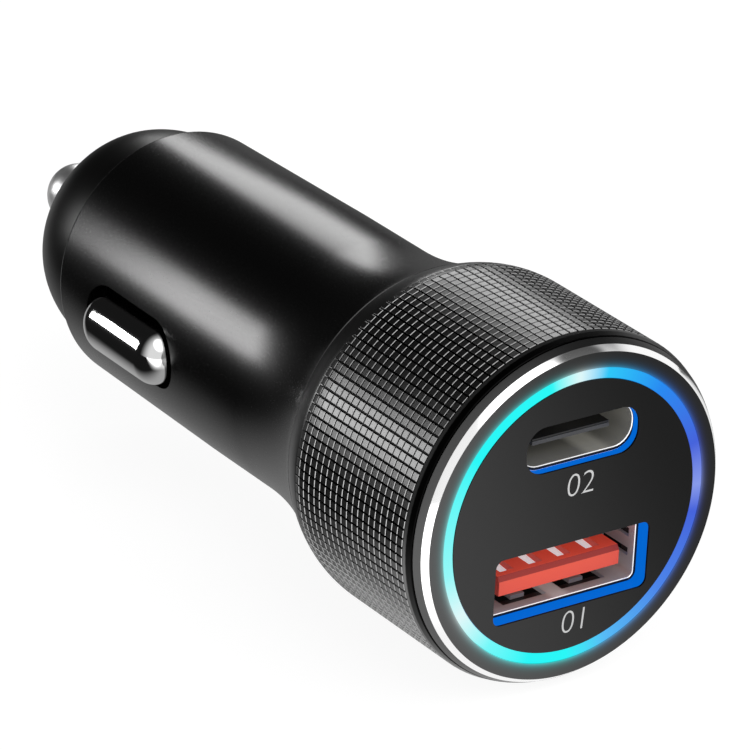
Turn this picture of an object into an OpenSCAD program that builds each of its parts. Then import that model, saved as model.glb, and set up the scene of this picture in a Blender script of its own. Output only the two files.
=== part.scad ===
// Two-port charger plug for a 12 V car socket.
// The plug's axis is Y: the ports face -Y, the sprung centre contact points to +Y, +Z is up.
// The origin is on the axis where the flare ends and the straight barrel begins,
// which is as deep as the plug goes into its socket.

/* [Barrel] */
// Diameter of the straight stretch of the barrel that guides the plug in its socket
barrel_d = 20.8; // [20.4:0.1:21.2]
// How far the radius of the barrel has shrunk at its rear edge
barrel_taper = 0.2; // [0:0.05:0.3]
// Length of the barrel from the flare to the seam of the nose cap
barrel_len = 24.5; // [23.5:0.5:28]
// Length of the straight stretch before the taper starts
barrel_straight = 7.5; // [5:0.5:8]
// Wall of the barrel
barrel_wall = 1.5; // [1.2:0.1:1.7]
// Width of the broken edge at the rear end of the barrel
barrel_edge = 0.35; // [0.2:0.05:0.6]

/* [Flare] */
// Length of the concave flare between the barrel and the grip
flare_len = 10; // [8:0.5:12]
// How far the flare rises over the barrel where it meets the grip sleeve
flare_rise = 1.9; // [1.7:0.1:2.2]

/* [Grip] */
// How far the crests of the knurl stand over the flare
grip_rise = 1.1; // [0.9:0.05:1.6]
// Wall of the grip sleeve under the crests
grip_wall = 0.85; // [0.7:0.05:1]
// Length of the head from its face to the flare
head_len = 17.6; // [17:0.2:20]
// Length of the rounded shoulder at the rear of the grip sleeve
shoulder_len = 3.9; // [3:0.1:4.5]
// Width of the plain bevel in front of the knurl
rim_w = 0.8; // [0.5:0.1:1.2]
// How far the plain bevel drops towards the bezel
rim_drop = 0.2; // [0.1:0.05:0.3]
// Number of knurl crests around the grip
knurl_around = 120; // [48:4:120]
// Number of knurl rows along the grip
knurl_rows = 20; // [8:1:20]
// Depth of the knurl
knurl_depth = 0.2; // [0.1:0.05:0.3]

/* [Bezel] */
// Length of the bezel ring that shows in front of the grip sleeve
bezel_len = 1.05; // [0.8:0.05:1.3]
// Width of the bright chamfer, measured across the face
chamfer_w = 0.38; // [0.2:0.02:0.5]
// Depth of the bright chamfer along the axis
chamfer_depth = 0.45; // [0.3:0.05:0.6]
// Width of the flat annulus between the light ring and the chamfer
annulus_w = 1.2; // [0.8:0.1:1.4]
// Width of the satin band between the chamfer and the grip sleeve
band_w = 0.32; // [0.2:0.02:0.5]

/* [Light ring and face] */
// Width of the light ring
ring_w = 0.75; // [0.5:0.05:1]
// Thickness of the face plate
face_t = 0.15; // [0.1:0.05:0.4]
// Thickness of the light guide behind the face plate
guide_t = 2.25; // [1.9:0.05:2.6]
// Thickness of the light board
led_board_t = 0.8; // [0.6:0.1:1]
// Width of a light, across the ring
led_w = 0.8; // [0.6:0.1:1]
// Length of a light, along the ring
led_l = 1.6; // [1.2:0.1:2]
// Height of a light
led_h = 0.65; // [0.4:0.05:0.8]

/* [Square port] */
// Width of the opening of the lower port
port_a_w = 13.4; // [12.8:0.1:13.6]
// Height of the opening of the lower port
port_a_h = 5.15; // [4.8:0.05:5.3]
// Height of the middle of the lower port, below the axis
port_a_drop = 4.5; // [4.3:0.1:4.8]
// Sideways place of the lower port
port_a_x = 0.1; // [-0.3:0.1:0.3]
// Depth from the face to the rim of the shell of the lower port
port_a_depth = 1.3; // [0.9:0.05:1.5]
// Length of the shell of the lower port
port_a_len = 13.2; // [12:0.2:15]
// Thickness of the sheet that the port shells are folded from
shell_sheet = 0.3; // [0.25:0.05:0.35]
// How far the sheet stands inside the edge of the lower opening
shell_step = 0.2; // [0.05:0.05:0.25]
// Width of the tongue of the lower port
tongue_a_w = 10.5; // [10:0.1:11]
// Thickness of the tongue of the lower port
tongue_a_t = 1.45; // [1.3:0.05:1.8]
// Height of the underside of the tongue above the middle of the port, negative when below
tongue_a_z = -1.1; // [-1.3:0.1:-0.8]
// Depth from the shell rim to the front of the tongue of the lower port
tongue_a_back = 0.15; // [0.1:0.05:1]
// Width of a contact of the lower port
pad_w = 1.08; // [0.8:0.02:1.2]
// Distance from one contact of the lower port to the next
pad_pitch = 2.5; // [2.3:0.02:2.6]
// Sideways place of the group of contacts on the tongue
pad_shift = -0.32; // [-0.6:0.02:0.6]
// Width of each spring window in the floor of the shell
window_w = 3.8; // [3:0.1:4]
// Distance between the middles of the two windows
window_pitch = 5.15; // [4.6:0.05:5.6]

/* [Oval port] */
// Width of the opening of the upper port
port_c_w = 9.7; // [9.2:0.1:9.9]
// Height of the opening of the upper port
port_c_h = 3.6; // [3.4:0.05:3.8]
// Corner radius of the opening of the upper port
port_c_r = 1.55; // [1.3:0.05:1.65]
// Height of the middle of the upper port above the axis
port_c_rise = 5.83; // [5.7:0.01:6]
// Sideways place of the upper port
port_c_x = 0.3; // [-0.3:0.1:0.3]
// Depth from the face to the rim of the shell of the upper port
port_c_depth = 0.7; // [0.5:0.05:1.2]
// How far the floor of that shell stands above the lower edge of the opening
port_c_ledge = 0.3; // [0.1:0.05:0.35]
// Length of the shell of the upper port
port_c_len = 8.75; // [7.6:0.05:9.2]
// Depth from the shell rim to the front of the tongue of the upper port
tongue_c_back = 0.75; // [0.4:0.05:1]
// Width of the tongue of the upper port
tongue_c_w = 6.65; // [6.4:0.05:6.8]
// Thickness of the metal plate inside the tongue of the upper port
mid_plate_t = 0.3; // [0.2:0.05:0.4]
// Thickness of the moulding on each side of that plate
tongue_c_skin = 0.15; // [0.1:0.05:0.2]

/* [Nose cap] */
// Length of the nose cap behind the seam
nose_len = 7.75; // [7.4:0.05:9]
// How far the nose cap steps in from the rear edge of the barrel
nose_step = 0.9; // [0.8:0.05:1.1]
// Diameter of the flat end of the nose cap
nose_tip_d = 9.2; // [8.6:0.1:10]
// Open seam between the barrel and the nose cap
seam = 0.2; // [0.05:0.05:0.3]
// Length of the spigot of the nose cap inside the barrel
spigot_len = 1.8; // [1.4:0.1:2]

/* [Centre contact] */
// Diameter of the centre contact
tip_d = 5; // [4.6:0.1:5.4]
// How far the centre contact stands out of the nose cap
tip_out = 8.1; // [7:0.1:9]
// Diameter of the flange that keeps the centre contact in the nose cap
tip_flange_d = 7.2; // [6.8:0.1:7.4]
// Thickness of that flange
tip_flange_t = 1.2; // [0.8:0.1:1.5]
// Diameter of the bore for the spring inside the centre contact
tip_bore_d = 3.5; // [3.3:0.1:3.7]
// Wall of the nose cap in front of the flange of the centre contact
nose_wall = 3.2; // [2.8:0.1:3.6]
// Wall of the tube that guides the flange
nose_tube_wall = 1.45; // [1:0.05:1.6]
// Wall of the spigot of the nose cap
nose_spigot_wall = 1.65; // [1.2:0.05:1.7]

/* [Ground contacts] */
// Length of each slot in the barrel
slot_l = 12; // [11:0.1:12.4]
// Width of each slot in the barrel
slot_w = 5.6; // [5.2:0.1:6.2]
// Distance from the rear edge of the barrel to the middle of the slots
slot_back = 10.1; // [9.5:0.1:10.5]
// Turn of the two contacts about the axis, away from level
slot_turn = 4; // [0:1:10]
// How far a ground contact stands out of the barrel
shoe_out = 2; // [1.6:0.05:2.1]
// Length of the part of a ground contact that stands out
shoe_l = 9.6; // [9:0.1:10.6]
// Width of the part of a ground contact that stands out
shoe_w = 4.5; // [4.2:0.1:4.8]
// Thickness of the flange that keeps a ground contact in the barrel
shoe_flange_t = 0.8; // [0.6:0.1:1]
// Width of that flange outside the slot, all round
shoe_lip = 0.5; // [0.4:0.05:0.55]
// How far a ground contact can be pressed in
shoe_travel = 1.6; // [1.2:0.1:1.8]
// Radius of the rounded ends of a ground contact, seen from the side
shoe_bow = 2; // [1.4:0.1:2.2]

/* [Springs] */
// Wire diameter of the springs
wire_d = 0.45; // [0.35:0.05:0.5]
// Outside diameter of the centre spring
centre_spring_d = 3.1; // [2.8:0.1:3.2]
// Turns of the centre spring
centre_spring_turns = 8; // [5:1:10]
// Outside diameter of the ground springs
ground_spring_d = 3.6; // [3.2:0.1:3.8]
// Turns of each ground spring
ground_spring_turns = 4; // [3:1:5]

/* [Boards] */
// Thickness of the circuit boards
board_t = 1.2; // [1:0.1:1.4]
// Room between the edges of the main board and the bore of the barrel
board_room = 0.6; // [0.3:0.05:1]
// Room between the capacitors and the bore of the barrel
capacitor_room = 0.75; // [0.5:0.05:1.5]
// Space between the two capacitors
capacitor_gap = 0.9; // [0.5:0.1:1.5]

/* [Fits] */
// Clearance between pieces that are pressed or clipped together
fit = 0.05; // [0.03:0.01:0.08]
// Clearance around pieces that slide
slide_gap = 0.15; // [0.1:0.01:0.2]

/* [Hidden] */
$fn = 96;

// Places along the axis
face_y = -(head_len + flare_len);
flare_y = -flare_len;
sleeve_y = face_y + bezel_len + fit;
knurl_y = sleeve_y + rim_w;
shoulder_y = flare_y - shoulder_len;
seam_y = barrel_len;
slot_y = seam_y - slot_back;
nose_y = seam_y + seam;
nose_end_y = nose_y + nose_len;
shell_front_y = face_y + face_t + guide_t + fit;
shell_a_y = face_y + port_a_depth;
shell_c_y = face_y + port_c_depth;
tongue_a_y = shell_a_y + tongue_a_back;
tongue_c_y = shell_c_y + tongue_c_back;
carrier_end_y = seam_y - spigot_len - 0.1;
tip_seat_y = nose_end_y - nose_wall;

// Radii
barrel_r = barrel_d / 2;
tail_r = barrel_r - barrel_taper;
bore_r = barrel_r - barrel_wall;
flare_r = barrel_r + flare_rise;
flare_arc = (flare_rise ^ 2 + flare_len ^ 2) / (2 * flare_rise);
grip_r = flare_r + grip_rise;
sleeve_r = grip_r - grip_wall;
sleeve_end_r = flare_r - 0.4;
sleeve_end_y = flare_y - fit;
bezel_r = grip_r - rim_drop - 0.05;
chamfer_r = bezel_r - band_w;
annulus_r = chamfer_r - chamfer_w;
bezel_in_r = annulus_r - annulus_w;
ring_out_r = bezel_in_r - fit;
ring_in_r = ring_out_r - ring_w;
nose_r = tail_r - nose_step;
cavity_r = bezel_in_r - 0.3;
led_r = ring_in_r - 0.55;
led_angles = [0, 50, 90, 130, 180, 270];

// The two port shells
shell_a_h = port_a_h - 2 * shell_step;
shell_c_step = 0.05;
shell_c_w = port_c_w - 2 * shell_c_step;
shell_c_h = port_c_h - shell_c_step - port_c_ledge;
shell_c_r = port_c_r - shell_c_step;
shell_c_z = port_c_rise + (port_c_ledge - shell_c_step) / 2;
port_a_corner = 0.65;
tongue_bevel_h = 0.36;
tongue_bevel_l = 0.24;
insert_a_depth = 10.5;
insert_c_depth = 7;
insert_a_y = face_y + insert_a_depth;
insert_c_y = face_y + insert_c_depth;

// Contacts of the lower port lie on the floor of their notches
notch_y = tongue_a_y + 0.76;
notch_depth = 0.6;
pad_y = notch_y + fit;
pad_t = 0.2;
pad_rise = 0.1;
pad_rise_y = pad_y + 2.4;

// Windows and slots of the lower shell, measured from its middle
window_y = shell_a_y + 0.9;
window_l = 4.2;
window_shift = 0.27;
window_spring_w = 1.2;
window_spring_back = 0.9;
side_slots = [[0.87, 0.54], [-0.62, 0.4]];
side_slot_y = shell_a_y + 0.75;
side_slot_l = 3.2;

// Tongue of the upper port: a plate between two skins, the lower one set back
tongue_c_t = mid_plate_t + 2 * tongue_c_skin;
tongue_c_z = port_c_rise - 0.08;
plate_lead = 0.05;
lower_skin_back = 0.8;

// The boards hang on the shells
board_z = -port_a_drop + shell_a_h / 2 + shell_sheet + fit;
board_top = board_z + board_t;
board_w = 2 * sqrt((bore_r - board_room) ^ 2 - board_z ^ 2);
capacitor_d = bore_r + board_z - fit - capacitor_room;
board_front = face_y + face_t + guide_t + led_board_t + 0.4;
c_board_z = shell_c_z - shell_c_h / 2 - shell_sheet - fit - board_t;
c_board_w = 11;
c_board_len = 9.5;
pin_w = 0.64;
inductor_w = 9.6;
inductor_h = 5.2;
chip_w = 5;
chip_h = 0.9;

// The two ground contacts, measured from the axis outwards
shoe_top = tail_r + shoe_out;
lip_w = slot_w + 2 * shoe_lip;
lip_l = slot_l + 2 * shoe_lip;
lip_top = sqrt((bore_r - fit) ^ 2 - (lip_w / 2) ^ 2);
lip_low = lip_top - shoe_flange_t;
pocket_floor = lip_low - shoe_travel - 0.4;
spring_floor = 1.4;
peg_r = ground_spring_d / 2 - wire_d - 0.15;
carrier_r = bore_r - fit;
board_in = 0.8;
board_end_wall = 0.15;
carrier_y = slot_y - lip_l / 2 - slide_gap - board_in - board_end_wall;
tab_t = 0.4;
tab_w = 2;
centre_tab_z = lip_w / 2 + 1.2;
centre_leg_y = carrier_y - 2.8;
ground_leg_y = carrier_y - 1.4;
terminal_r = 3.2;
ground_head_r = ground_spring_d / 2;
ground_head_t = 0.3;

// Parts on the main board, counted forward from the carrier
inductor_y = carrier_y - 15;
capacitor_y = shell_a_y + port_a_len + 1.6;
capacitor_l = (carrier_y - 2.2 - capacitor_y - capacitor_gap) / 2;

// Steps of the curves
arc_steps = 14;

// Solid of revolution about the Y axis from a list of [radius, y]
module turned(outline) {
    rotate([-90, 0, 0])
        rotate_extrude()
            polygon(outline);
}

// Prism along Y between two places, from an outline in X and Z
module along_y(y0, y1) {
    translate([0, y1, 0])
        rotate([90, 0, 0])
            linear_extrude(y1 - y0)
                children();
}

// Rounded rectangle with true corner arcs
module rounded(w, h, r) {
    square([w - 2 * r, h], center = true);
    square([w, h - 2 * r], center = true);
    for (x = [-1, 1], y = [-1, 1])
        translate([x * (w / 2 - r), y * (h / 2 - r)])
            circle(r = r, $fn = 32);
}

module port_a_outline(grow = 0) {
    translate([port_a_x, -port_a_drop])
        rounded(port_a_w + 2 * grow, port_a_h + 2 * grow, port_a_corner + grow);
}

module port_c_outline() {
    translate([port_c_x, port_c_rise])
        rounded(port_c_w, port_c_h, port_c_r);
}

// Inside of the shell of the upper port, which sits higher than its opening
module shell_c_outline(grow = 0) {
    translate([port_c_x, shell_c_z])
        rounded(shell_c_w + 2 * grow, shell_c_h + 2 * grow, shell_c_r + grow);
}

// Outline with straight sides along Y and round ends
function obround(l, w, steps = 12) = concat(
    [for (i = [0:steps]) let (a = 180 * i / steps) [w / 2 * cos(a), (l - w) / 2 + w / 2 * sin(a)]],
    [for (i = [0:steps]) let (a = 180 + 180 * i / steps) [w / 2 * cos(a), -(l - w) / 2 + w / 2 * sin(a)]]
);

// Children stand on the X axis and are turned to the left or the right slot
module at_slot(side) {
    translate([0, slot_y, 0])
        rotate([0, side < 0 ? 180 - slot_turn : -slot_turn, 0])
            children();
}

// Obround prism along X
module obround_x(l, w, x0, x1) {
    translate([x0, 0, 0])
        rotate([0, 90, 0])
            linear_extrude(x1 - x0)
                polygon(obround(l, w));
}

// Coil of round wire along Z, as one swept solid with flat ends
module coil(outside_d, wire, height, turns, sides = 6, per_turn = 12) {
    r = outside_d / 2 - wire / 2;
    n = turns * per_turn;
    rise = (height - wire) / n;
    points = [
        for (i = [0:n], j = [0:sides - 1])
            let (a = 360 * i / per_turn, b = 360 * j / sides)
            [
                (r + wire / 2 * cos(b)) * cos(a),
                (r + wire / 2 * cos(b)) * sin(a),
                wire / 2 + rise * i + wire / 2 * sin(b)
            ]
    ];
    walls = [
        for (i = [0:n - 1], j = [0:sides - 1])
            let (k = (j + 1) % sides, a = i * sides + k, b = i * sides + j, c = b + sides, d = a + sides)
            each [[a, d, c], [a, c, b]]
    ];
    first = [[for (j = [sides - 1:-1:0]) j]];
    last = [[for (j = [0:sides - 1]) n * sides + j]];
    polyhedron(points, concat(walls, first, last));
}

// Barrel

function flare_at(y) = barrel_r + flare_arc * (1 - sqrt(1 - (y / flare_arc) ^ 2));

module barrel_shell() {
    flare = [for (i = [0:arc_steps]) let (y = flare_y * (1 - i / arc_steps)) [flare_at(y), y]];
    color([0.09, 0.09, 0.1])
        difference() {
            turned(concat(
                [[cavity_r, shell_front_y], [sleeve_r - fit, shell_front_y], [sleeve_r - fit, shoulder_y]],
                [[sleeve_end_r - fit, flare_y]],
                flare,
                [[barrel_r, barrel_straight], [tail_r, seam_y - barrel_edge]],
                [[tail_r - barrel_edge * 0.25, seam_y - barrel_edge * 0.3]],
                [[tail_r - barrel_edge * 0.7, seam_y]],
                [[bore_r, seam_y], [bore_r, -1.5], [cavity_r, flare_y - 0.8]]
            ));
            for (side = [-1, 1])
                at_slot(side)
                    obround_x(slot_l, slot_w, bore_r - 3, barrel_r + 3);
        }
}

// Grip sleeve: pointed crests in rows, one pyramid to each cell of the knurl

function shoulder_at(y) = grip_r - (grip_r - flare_r) * max(0, (y - shoulder_y) / shoulder_len) ^ 2;

module grip_sleeve() {
    root_r = grip_r - knurl_depth;
    run_out_y = shoulder_y + shoulder_len * sqrt(knurl_depth / (grip_r - flare_r));
    pitch = (run_out_y - knurl_y) / knurl_rows;
    step = 360 / knurl_around;
    // rings of the outline, front to back: front face, bevel, knurl valleys, shoulder, rear face, bore
    lead = [[sleeve_r, sleeve_y], [grip_r - rim_drop, sleeve_y], [grip_r, knurl_y - 0.15], [root_r, knurl_y]];
    valleys = [for (i = [1:knurl_rows]) [root_r, knurl_y + i * pitch]];
    tail_n = 3;
    tail = [
        for (i = [1:tail_n])
            let (y = run_out_y + (sleeve_end_y - run_out_y) * i / tail_n)
            [shoulder_at(y), y]
    ];
    inside = [[sleeve_end_r, sleeve_end_y], [sleeve_r, shoulder_y]];
    rings = concat(lead, valleys, tail, inside);
    m = len(rings);
    grid = [
        for (i = [0:m - 1], j = [0:knurl_around - 1])
            [rings[i][0] * cos(j * step), rings[i][1], rings[i][0] * sin(j * step)]
    ];
    crests = [
        for (i = [0:knurl_rows - 1], j = [0:knurl_around - 1])
            [grip_r * cos((j + 0.5) * step), knurl_y + (i + 0.5) * pitch, grip_r * sin((j + 0.5) * step)]
    ];
    first = len(lead) - 1;
    function at(i, j) = (i % m) * knurl_around + (j % knurl_around);
    plain = [
        for (i = [0:m - 1], j = [0:knurl_around - 1])
            if (i < first || i >= first + knurl_rows)
                [at(i, j), at(i, j + 1), at(i + 1, j + 1), at(i + 1, j)]
    ];
    peaks = [
        for (i = [0:knurl_rows - 1], j = [0:knurl_around - 1])
            let (
                c = m * knurl_around + i * knurl_around + j,
                a = at(first + i, j),
                b = at(first + i, j + 1),
                d = at(first + i + 1, j + 1),
                e = at(first + i + 1, j)
            )
            each [[a, b, c], [b, d, c], [d, e, c], [e, a, c]]
    ];
    color([0.2, 0.2, 0.21])
        polyhedron(concat(grid, crests), concat(plain, peaks));
}

// Face

module front_bezel() {
    color([0.16, 0.16, 0.17])
        turned([
            [bezel_in_r, face_y],
            [annulus_r, face_y],
            [chamfer_r, face_y + chamfer_depth],
            [bezel_r, face_y + bezel_len],
            [sleeve_r - fit, face_y + bezel_len],
            [sleeve_r - fit, shell_front_y - fit],
            [bezel_in_r, shell_front_y - fit]
        ]);
}

module face_plate() {
    color([0.17, 0.17, 0.18])
        difference() {
            turned([
                [0, face_y],
                [ring_in_r - fit, face_y],
                [ring_in_r - fit, face_y + face_t],
                [0, face_y + face_t]
            ]);
            along_y(face_y - 1, face_y + face_t + 1)
                port_a_outline();
            along_y(face_y - 1, face_y + face_t + 1)
                port_c_outline();
        }
}

module light_guide() {
    back = face_y + face_t + guide_t;
    color([0.3, 0.85, 0.95])
        difference() {
            turned([
                [0, face_y + face_t],
                [ring_in_r, face_y + face_t],
                [ring_in_r, face_y],
                [ring_out_r, face_y],
                [ring_out_r, back],
                [0, back]
            ]);
            along_y(face_y - 1, back + 1)
                port_a_outline();
            along_y(face_y - 1, back + 1)
                port_c_outline();
            along_y(shell_a_y - fit, back + 1)
                port_a_outline(shell_sheet - shell_step + fit);
            along_y(shell_c_y - fit, back + 1)
                shell_c_outline(shell_sheet + fit);
            for (a = led_angles)
                rotate([0, -a, 0])
                    translate([led_r - led_w / 2 - fit, back - led_h - fit, -led_l / 2 - fit])
                        cube([led_w + 2 * fit, led_h + 1, led_l + 2 * fit]);
        }
}

module led_board() {
    front = face_y + face_t + guide_t + fit;
    color([0.08, 0.08, 0.08])
        difference() {
            turned([
                [0, front],
                [cavity_r - fit, front],
                [cavity_r - fit, front + led_board_t],
                [0, front + led_board_t]
            ]);
            along_y(front - 1, front + led_board_t + 1)
                port_a_outline(shell_sheet - shell_step + fit);
            along_y(front - 1, front + led_board_t + 1)
                shell_c_outline(shell_sheet + fit);
        }
}

module led(i) {
    color([0.98, 0.95, 0.7])
        rotate([0, -led_angles[i], 0])
            translate([led_r - led_w / 2, face_y + face_t + guide_t + fit - led_h, -led_l / 2])
                cube([led_w, led_h, led_l]);
}

// Square port

module usb_a_shell() {
    floor_z = -port_a_drop - port_a_h / 2;
    color([0.75, 0.75, 0.76])
        difference() {
            along_y(shell_a_y, shell_a_y + port_a_len)
                port_a_outline(shell_sheet - shell_step);
            along_y(shell_a_y - 1, shell_a_y + port_a_len + 1)
                port_a_outline(-shell_step);
            // two windows in the floor, each around a spring that is cut from the sheet
            for (side = [-1, 1])
                translate([port_a_x + window_shift + side * window_pitch / 2, window_y, floor_z - 1])
                    difference() {
                        translate([-window_w / 2, 0, 0])
                            cube([window_w, window_l, 1.5]);
                        translate([-window_spring_w / 2, window_spring_back, -1])
                            cube([window_spring_w, window_l, 3]);
                    }
            // two slots in each side wall
            for (side = [-1, 1], slot = side_slots)
                translate([
                    port_a_x + side * port_a_w / 2 - 0.8,
                    side_slot_y,
                    -port_a_drop + slot[0] - slot[1] / 2
                ])
                    cube([1.6, side_slot_l, slot[1]]);
        }
}

module usb_a_tongue() {
    z = -port_a_drop + tongue_a_z;
    y_back = shell_a_y + port_a_len;
    root_y = insert_a_y + 0.5;
    color([0.87, 0.27, 0.16])
        difference() {
            union() {
                translate([port_a_x - tongue_a_w / 2, 0, z])
                    rotate([90, 0, 90])
                        linear_extrude(tongue_a_w)
                            polygon([
                                [tongue_a_y, 0],
                                [root_y, 0],
                                [root_y, tongue_a_t],
                                [tongue_a_y + tongue_bevel_l, tongue_a_t],
                                [tongue_a_y, tongue_a_t - tongue_bevel_h]
                            ]);
                along_y(insert_a_y, y_back)
                    port_a_outline(-shell_step - fit);
            }
            for (i = [0:3])
                translate([pad_x(i) - pad_w / 2 - fit, notch_y, z + tongue_a_t - notch_depth])
                    cube([pad_w + 2 * fit, insert_a_y - notch_y, notch_depth + 1]);
        }
}

function pad_x(i) = port_a_x + pad_shift + (i - 1.5) * pad_pitch;

module usb_a_contact(i) {
    color([0.9, 0.88, 0.82])
        translate([pad_x(i) - pad_w / 2, 0, -port_a_drop + tongue_a_z + tongue_a_t - notch_depth])
            rotate([90, 0, 90])
                linear_extrude(pad_w)
                    polygon([
                        [pad_y, 0],
                        [insert_a_y - fit, 0],
                        [insert_a_y - fit, pad_t],
                        [pad_rise_y + pad_rise, pad_t],
                        [pad_rise_y, pad_t + pad_rise],
                        [pad_y, pad_t - pad_rise]
                    ]);
}

// Oval port

module usb_c_shell() {
    color([0.62, 0.62, 0.6])
        difference() {
            along_y(shell_c_y, shell_c_y + port_c_len)
                shell_c_outline(shell_sheet);
            along_y(shell_c_y - 1, shell_c_y + port_c_len + 1)
                shell_c_outline();
        }
}

module usb_c_tongue() {
    top_y = tongue_c_y + plate_lead;
    low_y = tongue_c_y + lower_skin_back;
    plate_room = mid_plate_t + 0.02;
    color([0.05, 0.05, 0.05])
        difference() {
            union() {
                translate([port_c_x - tongue_c_w / 2, top_y, tongue_c_z])
                    cube([tongue_c_w, insert_c_y - top_y + 1, tongue_c_t / 2]);
                translate([port_c_x - tongue_c_w / 2, low_y, tongue_c_z - tongue_c_t / 2])
                    cube([tongue_c_w, insert_c_y - low_y + 1, tongue_c_t]);
                along_y(insert_c_y, shell_c_y + port_c_len)
                    shell_c_outline(-fit);
            }
            translate([port_c_x - tongue_c_w / 2 - 1, tongue_c_y - 1, tongue_c_z - plate_room / 2])
                cube([tongue_c_w + 2, insert_c_y - tongue_c_y + 1 - fit, plate_room]);
        }
}

module usb_c_mid_plate() {
    color([0.5, 0.5, 0.5])
        translate([port_c_x - tongue_c_w / 2, tongue_c_y, tongue_c_z - mid_plate_t / 2])
            cube([tongue_c_w, insert_c_y - tongue_c_y - 2 * fit, mid_plate_t]);
}

// Boards and what is soldered to them

module usb_c_board() {
    color([0.05, 0.35, 0.2])
        translate([port_c_x - c_board_w / 2, board_front, c_board_z])
            cube([c_board_w, c_board_len, board_t]);
}

module board_pin(i) {
    x = port_c_x + (i == 0 ? -1 : 1) * (c_board_w / 2 - 1);
    color([0.85, 0.7, 0.3])
        translate([x - pin_w / 2, board_front + c_board_len - 1.6, board_top])
            cube([pin_w, pin_w, c_board_z - board_top]);
}

module main_board() {
    color([0.05, 0.35, 0.2])
        translate([-board_w / 2, board_front, board_z])
            cube([board_w, carrier_y + board_in - board_front, board_t]);
}

module power_inductor() {
    color([0.25, 0.25, 0.27])
        translate([0, inductor_y + inductor_w / 2, board_top])
            linear_extrude(inductor_h)
                rounded(inductor_w, inductor_w, 2);
}

module converter_chip() {
    color([0.12, 0.12, 0.12])
        translate([-chip_w / 2, inductor_y - chip_w - 1, board_top])
            cube([chip_w, chip_w, chip_h]);
}

module port_chip() {
    color([0.12, 0.12, 0.12])
        translate([-6.5, inductor_y + inductor_w + 1, board_top])
            cube([4, 3, 1.4]);
}

module capacitor(i) {
    x0 = capacitor_y + i * (capacitor_l + capacitor_gap);
    r = capacitor_d / 2;
    color([0.15, 0.2, 0.45])
        translate([0, 0, board_z - fit - r])
            turned([
                [0, x0],
                [r - 0.2, x0],
                [r, x0 + 0.2],
                [r, x0 + capacitor_l - 1.6],
                [r - 0.3, x0 + capacitor_l - 1.3],
                [r, x0 + capacitor_l - 1],
                [r, x0 + capacitor_l],
                [0, x0 + capacitor_l]
            ]);
}

// Carrier that holds the contacts' springs in the barrel

module contact_carrier() {
    color([0.85, 0.85, 0.82])
        difference() {
            turned([
                [0, carrier_y],
                [carrier_r, carrier_y],
                [carrier_r, carrier_end_y],
                [0, carrier_end_y]
            ]);
            // slot for the rear end of the main board
            translate([-board_w / 2 - fit, carrier_y - 1, board_z - fit])
                cube([board_w + 2 * fit, board_in + 1 + fit, board_t + 2 * fit]);
            for (side = [-1, 1])
                at_slot(side) {
                    obround_x(lip_l + 2 * slide_gap, lip_w + 2 * slide_gap, pocket_floor, bore_r + 1);
                    translate([spring_floor, 0, 0])
                        rotate([0, 90, 0])
                            cylinder(d = ground_spring_d + 0.4, h = bore_r);
                }
            // passage for the ground terminal
            rotate([0, -slot_turn, 0])
                translate([-tab_w / 2 - fit, carrier_y - 1, -tab_t / 2 - fit])
                    cube([tab_w + 2 * fit, slot_y - carrier_y + 2, tab_t + 2 * fit]);
            at_slot(1)
                translate([-spring_floor - 1, 0, 0])
                    rotate([0, 90, 0])
                        cylinder(d = 1.6 + 2 * fit, h = 2 * spring_floor + 2);
            // passage and seat for the centre terminal
            translate([-tab_w / 2 - fit, carrier_y - 1, centre_tab_z - fit])
                cube([tab_w + 2 * fit, carrier_end_y - carrier_y + 2, tab_t + 2 * fit]);
            translate([-tab_w / 2 - fit, carrier_end_y - tab_t - fit, 0])
                cube([tab_w + 2 * fit, tab_t + 1, centre_tab_z + tab_t + fit]);
            turned([
                [0, carrier_end_y - tab_t - fit],
                [terminal_r + fit, carrier_end_y - tab_t - fit],
                [terminal_r + fit, carrier_end_y + 1],
                [0, carrier_end_y + 1]
            ]);
        }
}

// Strip with a cross rivet whose two heads are the seats of the ground springs
module ground_terminal() {
    color([0.8, 0.65, 0.3]) {
        rotate([0, -slot_turn, 0])
            translate([-tab_w / 2, ground_leg_y, -tab_t / 2])
                cube([tab_w, slot_y - ground_leg_y + 0.5, tab_t]);
        at_slot(1)
            for (side = [-1, 1])
                rotate([0, side * 90, 0]) {
                    cylinder(d = 1.6, h = spring_floor + ground_head_t);
                    translate([0, 0, spring_floor])
                        cylinder(r = ground_head_r, h = ground_head_t);
                }
        rotate([0, -slot_turn, 0])
            translate([-tab_w / 2, ground_leg_y, board_top + 2 * fit])
                cube([tab_w, tab_t, -board_top - 2 * fit]);
    }
}

// Bent strip from the main board to the seat of the centre spring
module centre_terminal() {
    y0 = centre_leg_y;
    color([0.8, 0.65, 0.3]) {
        translate([-tab_w / 2, 0, 0])
            rotate([90, 0, 90])
                linear_extrude(tab_w)
                    polygon([
                        [y0, board_top],
                        [y0 + tab_t, board_top],
                        [y0 + tab_t, centre_tab_z],
                        [carrier_end_y - tab_t, centre_tab_z],
                        [carrier_end_y - tab_t, 0],
                        [carrier_end_y, 0],
                        [carrier_end_y, centre_tab_z + tab_t],
                        [y0, centre_tab_z + tab_t]
                    ]);
        turned([
            [0, carrier_end_y - tab_t],
            [terminal_r, carrier_end_y - tab_t],
            [terminal_r, carrier_end_y],
            [0, carrier_end_y]
        ]);
    }
}

// Nose cap and centre contact

function nose_at(t) = let (e = 2 / 2.25) [
    nose_tip_d / 2 + (nose_r - nose_tip_d / 2) * cos(90 * t) ^ e,
    nose_y + nose_len * sin(90 * t) ^ e
];

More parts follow.
